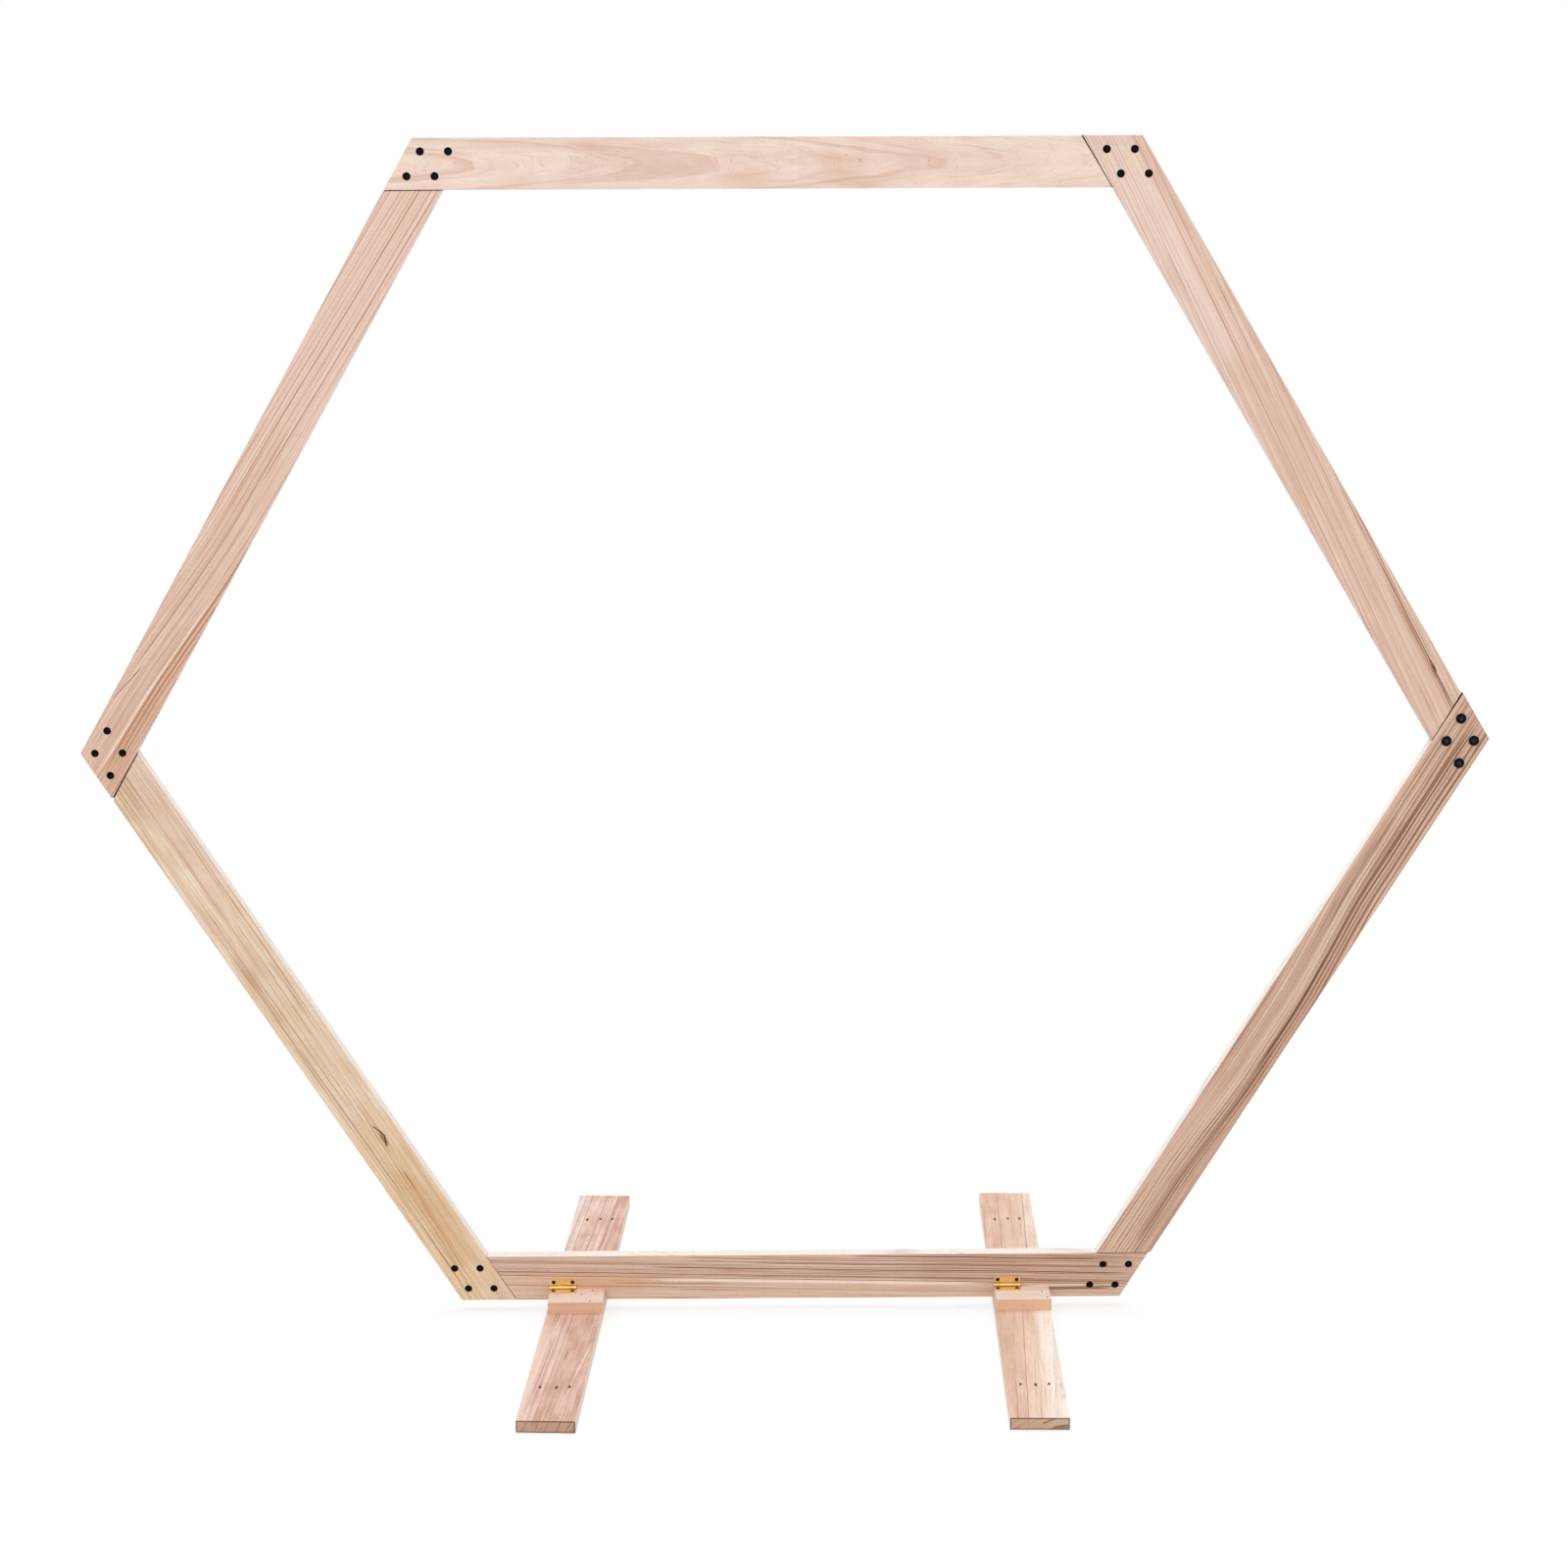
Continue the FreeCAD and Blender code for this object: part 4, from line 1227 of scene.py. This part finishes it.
# %% Drive the hinge screws
SCREW_HEAD, CROWN = 0.0030, 0.0008
SCREW_SHANK = 0.0013
for side in FOOT_SWING:
    for part, facing, body in (("_hinge_frame_screws", TO_FRONT, "arch_frame"),
                               ("_hinge_foot_screws", UPRIGHT, side + "_support")):
        length, places = measured(side + part, facing)
        crown = [(SCREW_HEAD * math.sin(angle), CROWN * math.cos(angle))
                 for angle in [math.radians(step) for step in (36, 50, 65, 80, 90)]]
        screw = turned(side + part + "_screw", [
            (0.0002, CROWN - 0.0011), (0.0012, CROWN - 0.0009, "cross"),
            (0.0019, CROWN * 0.86, "cross"), *crown, (0.0028, -0.0001),
            (SCREW_SHANK, -0.0012), (SCREW_SHANK, 0.002 - length), (0.0004, -length)])
        piece = repeated(side + part + "_turned", screw, places, facing, antique, body,
                         seed=41)
        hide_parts(side + part)
        bpy.data.objects.remove(screw)

# %% [markdown]
# ### Sleeves behind the boards
# Each bolt screws into a threaded sleeve let into the rear lap. From behind it shows as
# a bright ring round the end of the bolt. The CAD sleeves already have that shape, so
# they stay as they are and only get their finish.

# %% Zinc sleeves
for corner_name in CORNERS:
    dress(frame["nodes"][corner_name + "_inserts"], zinc)
print(len(CORNERS), "groups of sleeves in zinc")

# %% [markdown]
# ### Brads
# Small brads are driven almost flush: three across each foot near either end, three in
# the left cleat and two in the right one. So little of a brad shows that a low disc is
# enough for it. The dimples round those in the feet are in the wood's material.

# %% Drive the brads
BRAD = 0.0014
BRADS_ON_CLEATS = {"left": [(0.0491, 0.0211), (0.0648, 0.0072), (0.0634, 0.0449)],
                   "right": [(0.0704, 0.0218), (0.0766, 0.0413)]}
brad_head = turned("brad_head", [(0.0003, 0.0002), (BRAD * 0.7, 0.00018), (BRAD, 0.00008),
                                 (BRAD, -0.0006), (BRAD * 0.5, -0.0007)], around=20)
for side in FOOT_SWING:
    places = [bench[side + part].place(along, across, 0)
              for part, spots in (("_foot", BRADS_ON_FEET), ("_cleat", BRADS_ON_CLEATS))
              for along, across in spots[side]]
    repeated(side + "_brads", brad_head, places, UPRIGHT, nail_steel,
             side + "_support", seed=31)
bpy.data.objects.remove(brad_head)

# %% [markdown]
# ## The studio
# The floor and the world look white to the camera without pouring light on the arch:
# to camera rays the floor is part emission, part diffuse, so that it reaches white and
# still takes a soft shadow. Mirror-like rays and rays through glass see the same white.
# Far from the arch the floor glows a little more, so that no horizon shows.

# %% What the camera sees
LIGHT_PATH = ("Is Camera Ray", "Is Glossy Ray", "Is Transmission Ray")


def grey(level):
    return (level, level, level, 1)


def seen(wire):
    """1 for rays that should see the white background, 0 for those that light things."""
    paths = wire.node("ShaderNodeLightPath")
    camera, glossy, through = (paths[name] for name in LIGHT_PATH)
    return camera.most(glossy).most(through)


print("white for", ", ".join(LIGHT_PATH))

# %% The floor
FLOOR_HALF, FLOOR_Z = 9, -0.0005
floor_mesh = bpy.data.meshes.new("floor")
floor_mesh.from_pydata([(x * FLOOR_HALF, y * FLOOR_HALF, FLOOR_Z)
                        for x, y in ((-1, -1), (1, -1), (1, 1), (-1, 1))], [], [(0, 1, 2, 3)])
floor = put("floor", floor_mesh)
wire, shader, material = finish("white_floor")
shader.inputs["Base Color"].default_value = grey(0.7)
shader.inputs["Roughness"].default_value = 0.9
soft = wire.node("ShaderNodeBsdfDiffuse", Color=grey(0.42))
far_off = wire.node("ShaderNodeVectorMath", {"operation": "LENGTH"},
                    Vector=wire.node("ShaderNodeTexCoord")["Object"])["Value"].rise(1.2, 4.0)
glow = wire.node("ShaderNodeEmission", Strength=1.0,
                 Color=wire.tint(far_off, grey(0.62), grey(0.85)))
bright = wire.node("ShaderNodeAddShader", Shader=soft, Shader_001=glow)
both = wire.node("ShaderNodeMixShader", Fac=seen(wire),
                 Shader=Wire(wire.tree, shader.outputs[0]), Shader_001=bright)
wire.tree.links.new(both.socket, wire.tree.nodes["Material Output"].inputs["Surface"])
dress(floor, material)
print("a floor", 2 * FLOOR_HALF, "m wide")

# %% The world
FILL = 0.62
world = bpy.data.worlds.new("studio")
world.use_nodes = True
bpy.context.scene.world = world
wire = Wire(world.node_tree)
fill = wire.node("ShaderNodeBackground", Color=grey(1), Strength=FILL)
white = wire.node("ShaderNodeBackground", Color=grey(1), Strength=1.0)
both = wire.node("ShaderNodeMixShader", Fac=seen(wire), Shader=fill, Shader_001=white)
wire.tree.links.new(both.socket, world.node_tree.nodes["World Output"].inputs["Surface"])
print("the world lights the arch at", FILL)

# %% [markdown]
# Four large lamps give soft light from the left front, the right front, above and
# behind. Their level is plain, so that a colour renders about as it is written.

# %% Lamps
LAMPS = {   # place, aim, size and power
    "key": ((-2.4, -4.2, 3.2), (0, 0, 0.9), 2.6, 62),
    "side": ((3.2, -3.4, 1.8), (0, 0, 0.8), 2.4, 26),
    "above": ((0.3, 0.5, 4.2), (0, 0, 0.6), 2.8, 57),
    "behind": ((0.8, 3.8, 2.2), (0, 0, 0.8), 2.6, 26),
}
for name, (place, aim, size, power) in LAMPS.items():
    light = bpy.data.lights.new(name, "AREA")
    light.size, light.energy = size, power
    lamp = put(name, light)
    lamp.location = place
    lamp.rotation_euler = (Vector(aim) - Vector(place)).to_track_quat("-Z", "Y").to_euler()
    print(name, power, "W")

# %% [markdown]
# ## The camera
# The viewing angle was found by fitting a camera to the corners of the boards and feet
# in the photograph: it stands 3.9 m away, a little above the top of the arch, and
# looks down by almost fourteen degrees.

# %% Camera
eye = bpy.data.cameras.new("eye")
eye.lens, eye.sensor_width = 63.222, 36.0
camera = put("eye", eye)
camera.location = (-0.02697, -3.87499, 1.77018)
camera.rotation_euler = [math.radians(angle) for angle in (76.2069, 0.2044, -0.4211)]
bpy.context.scene.camera = camera
bpy.context.scene.view_settings.view_transform = "Standard"
print("the camera stands at", [round(value, 2) for value in camera.location])

# %% [markdown]
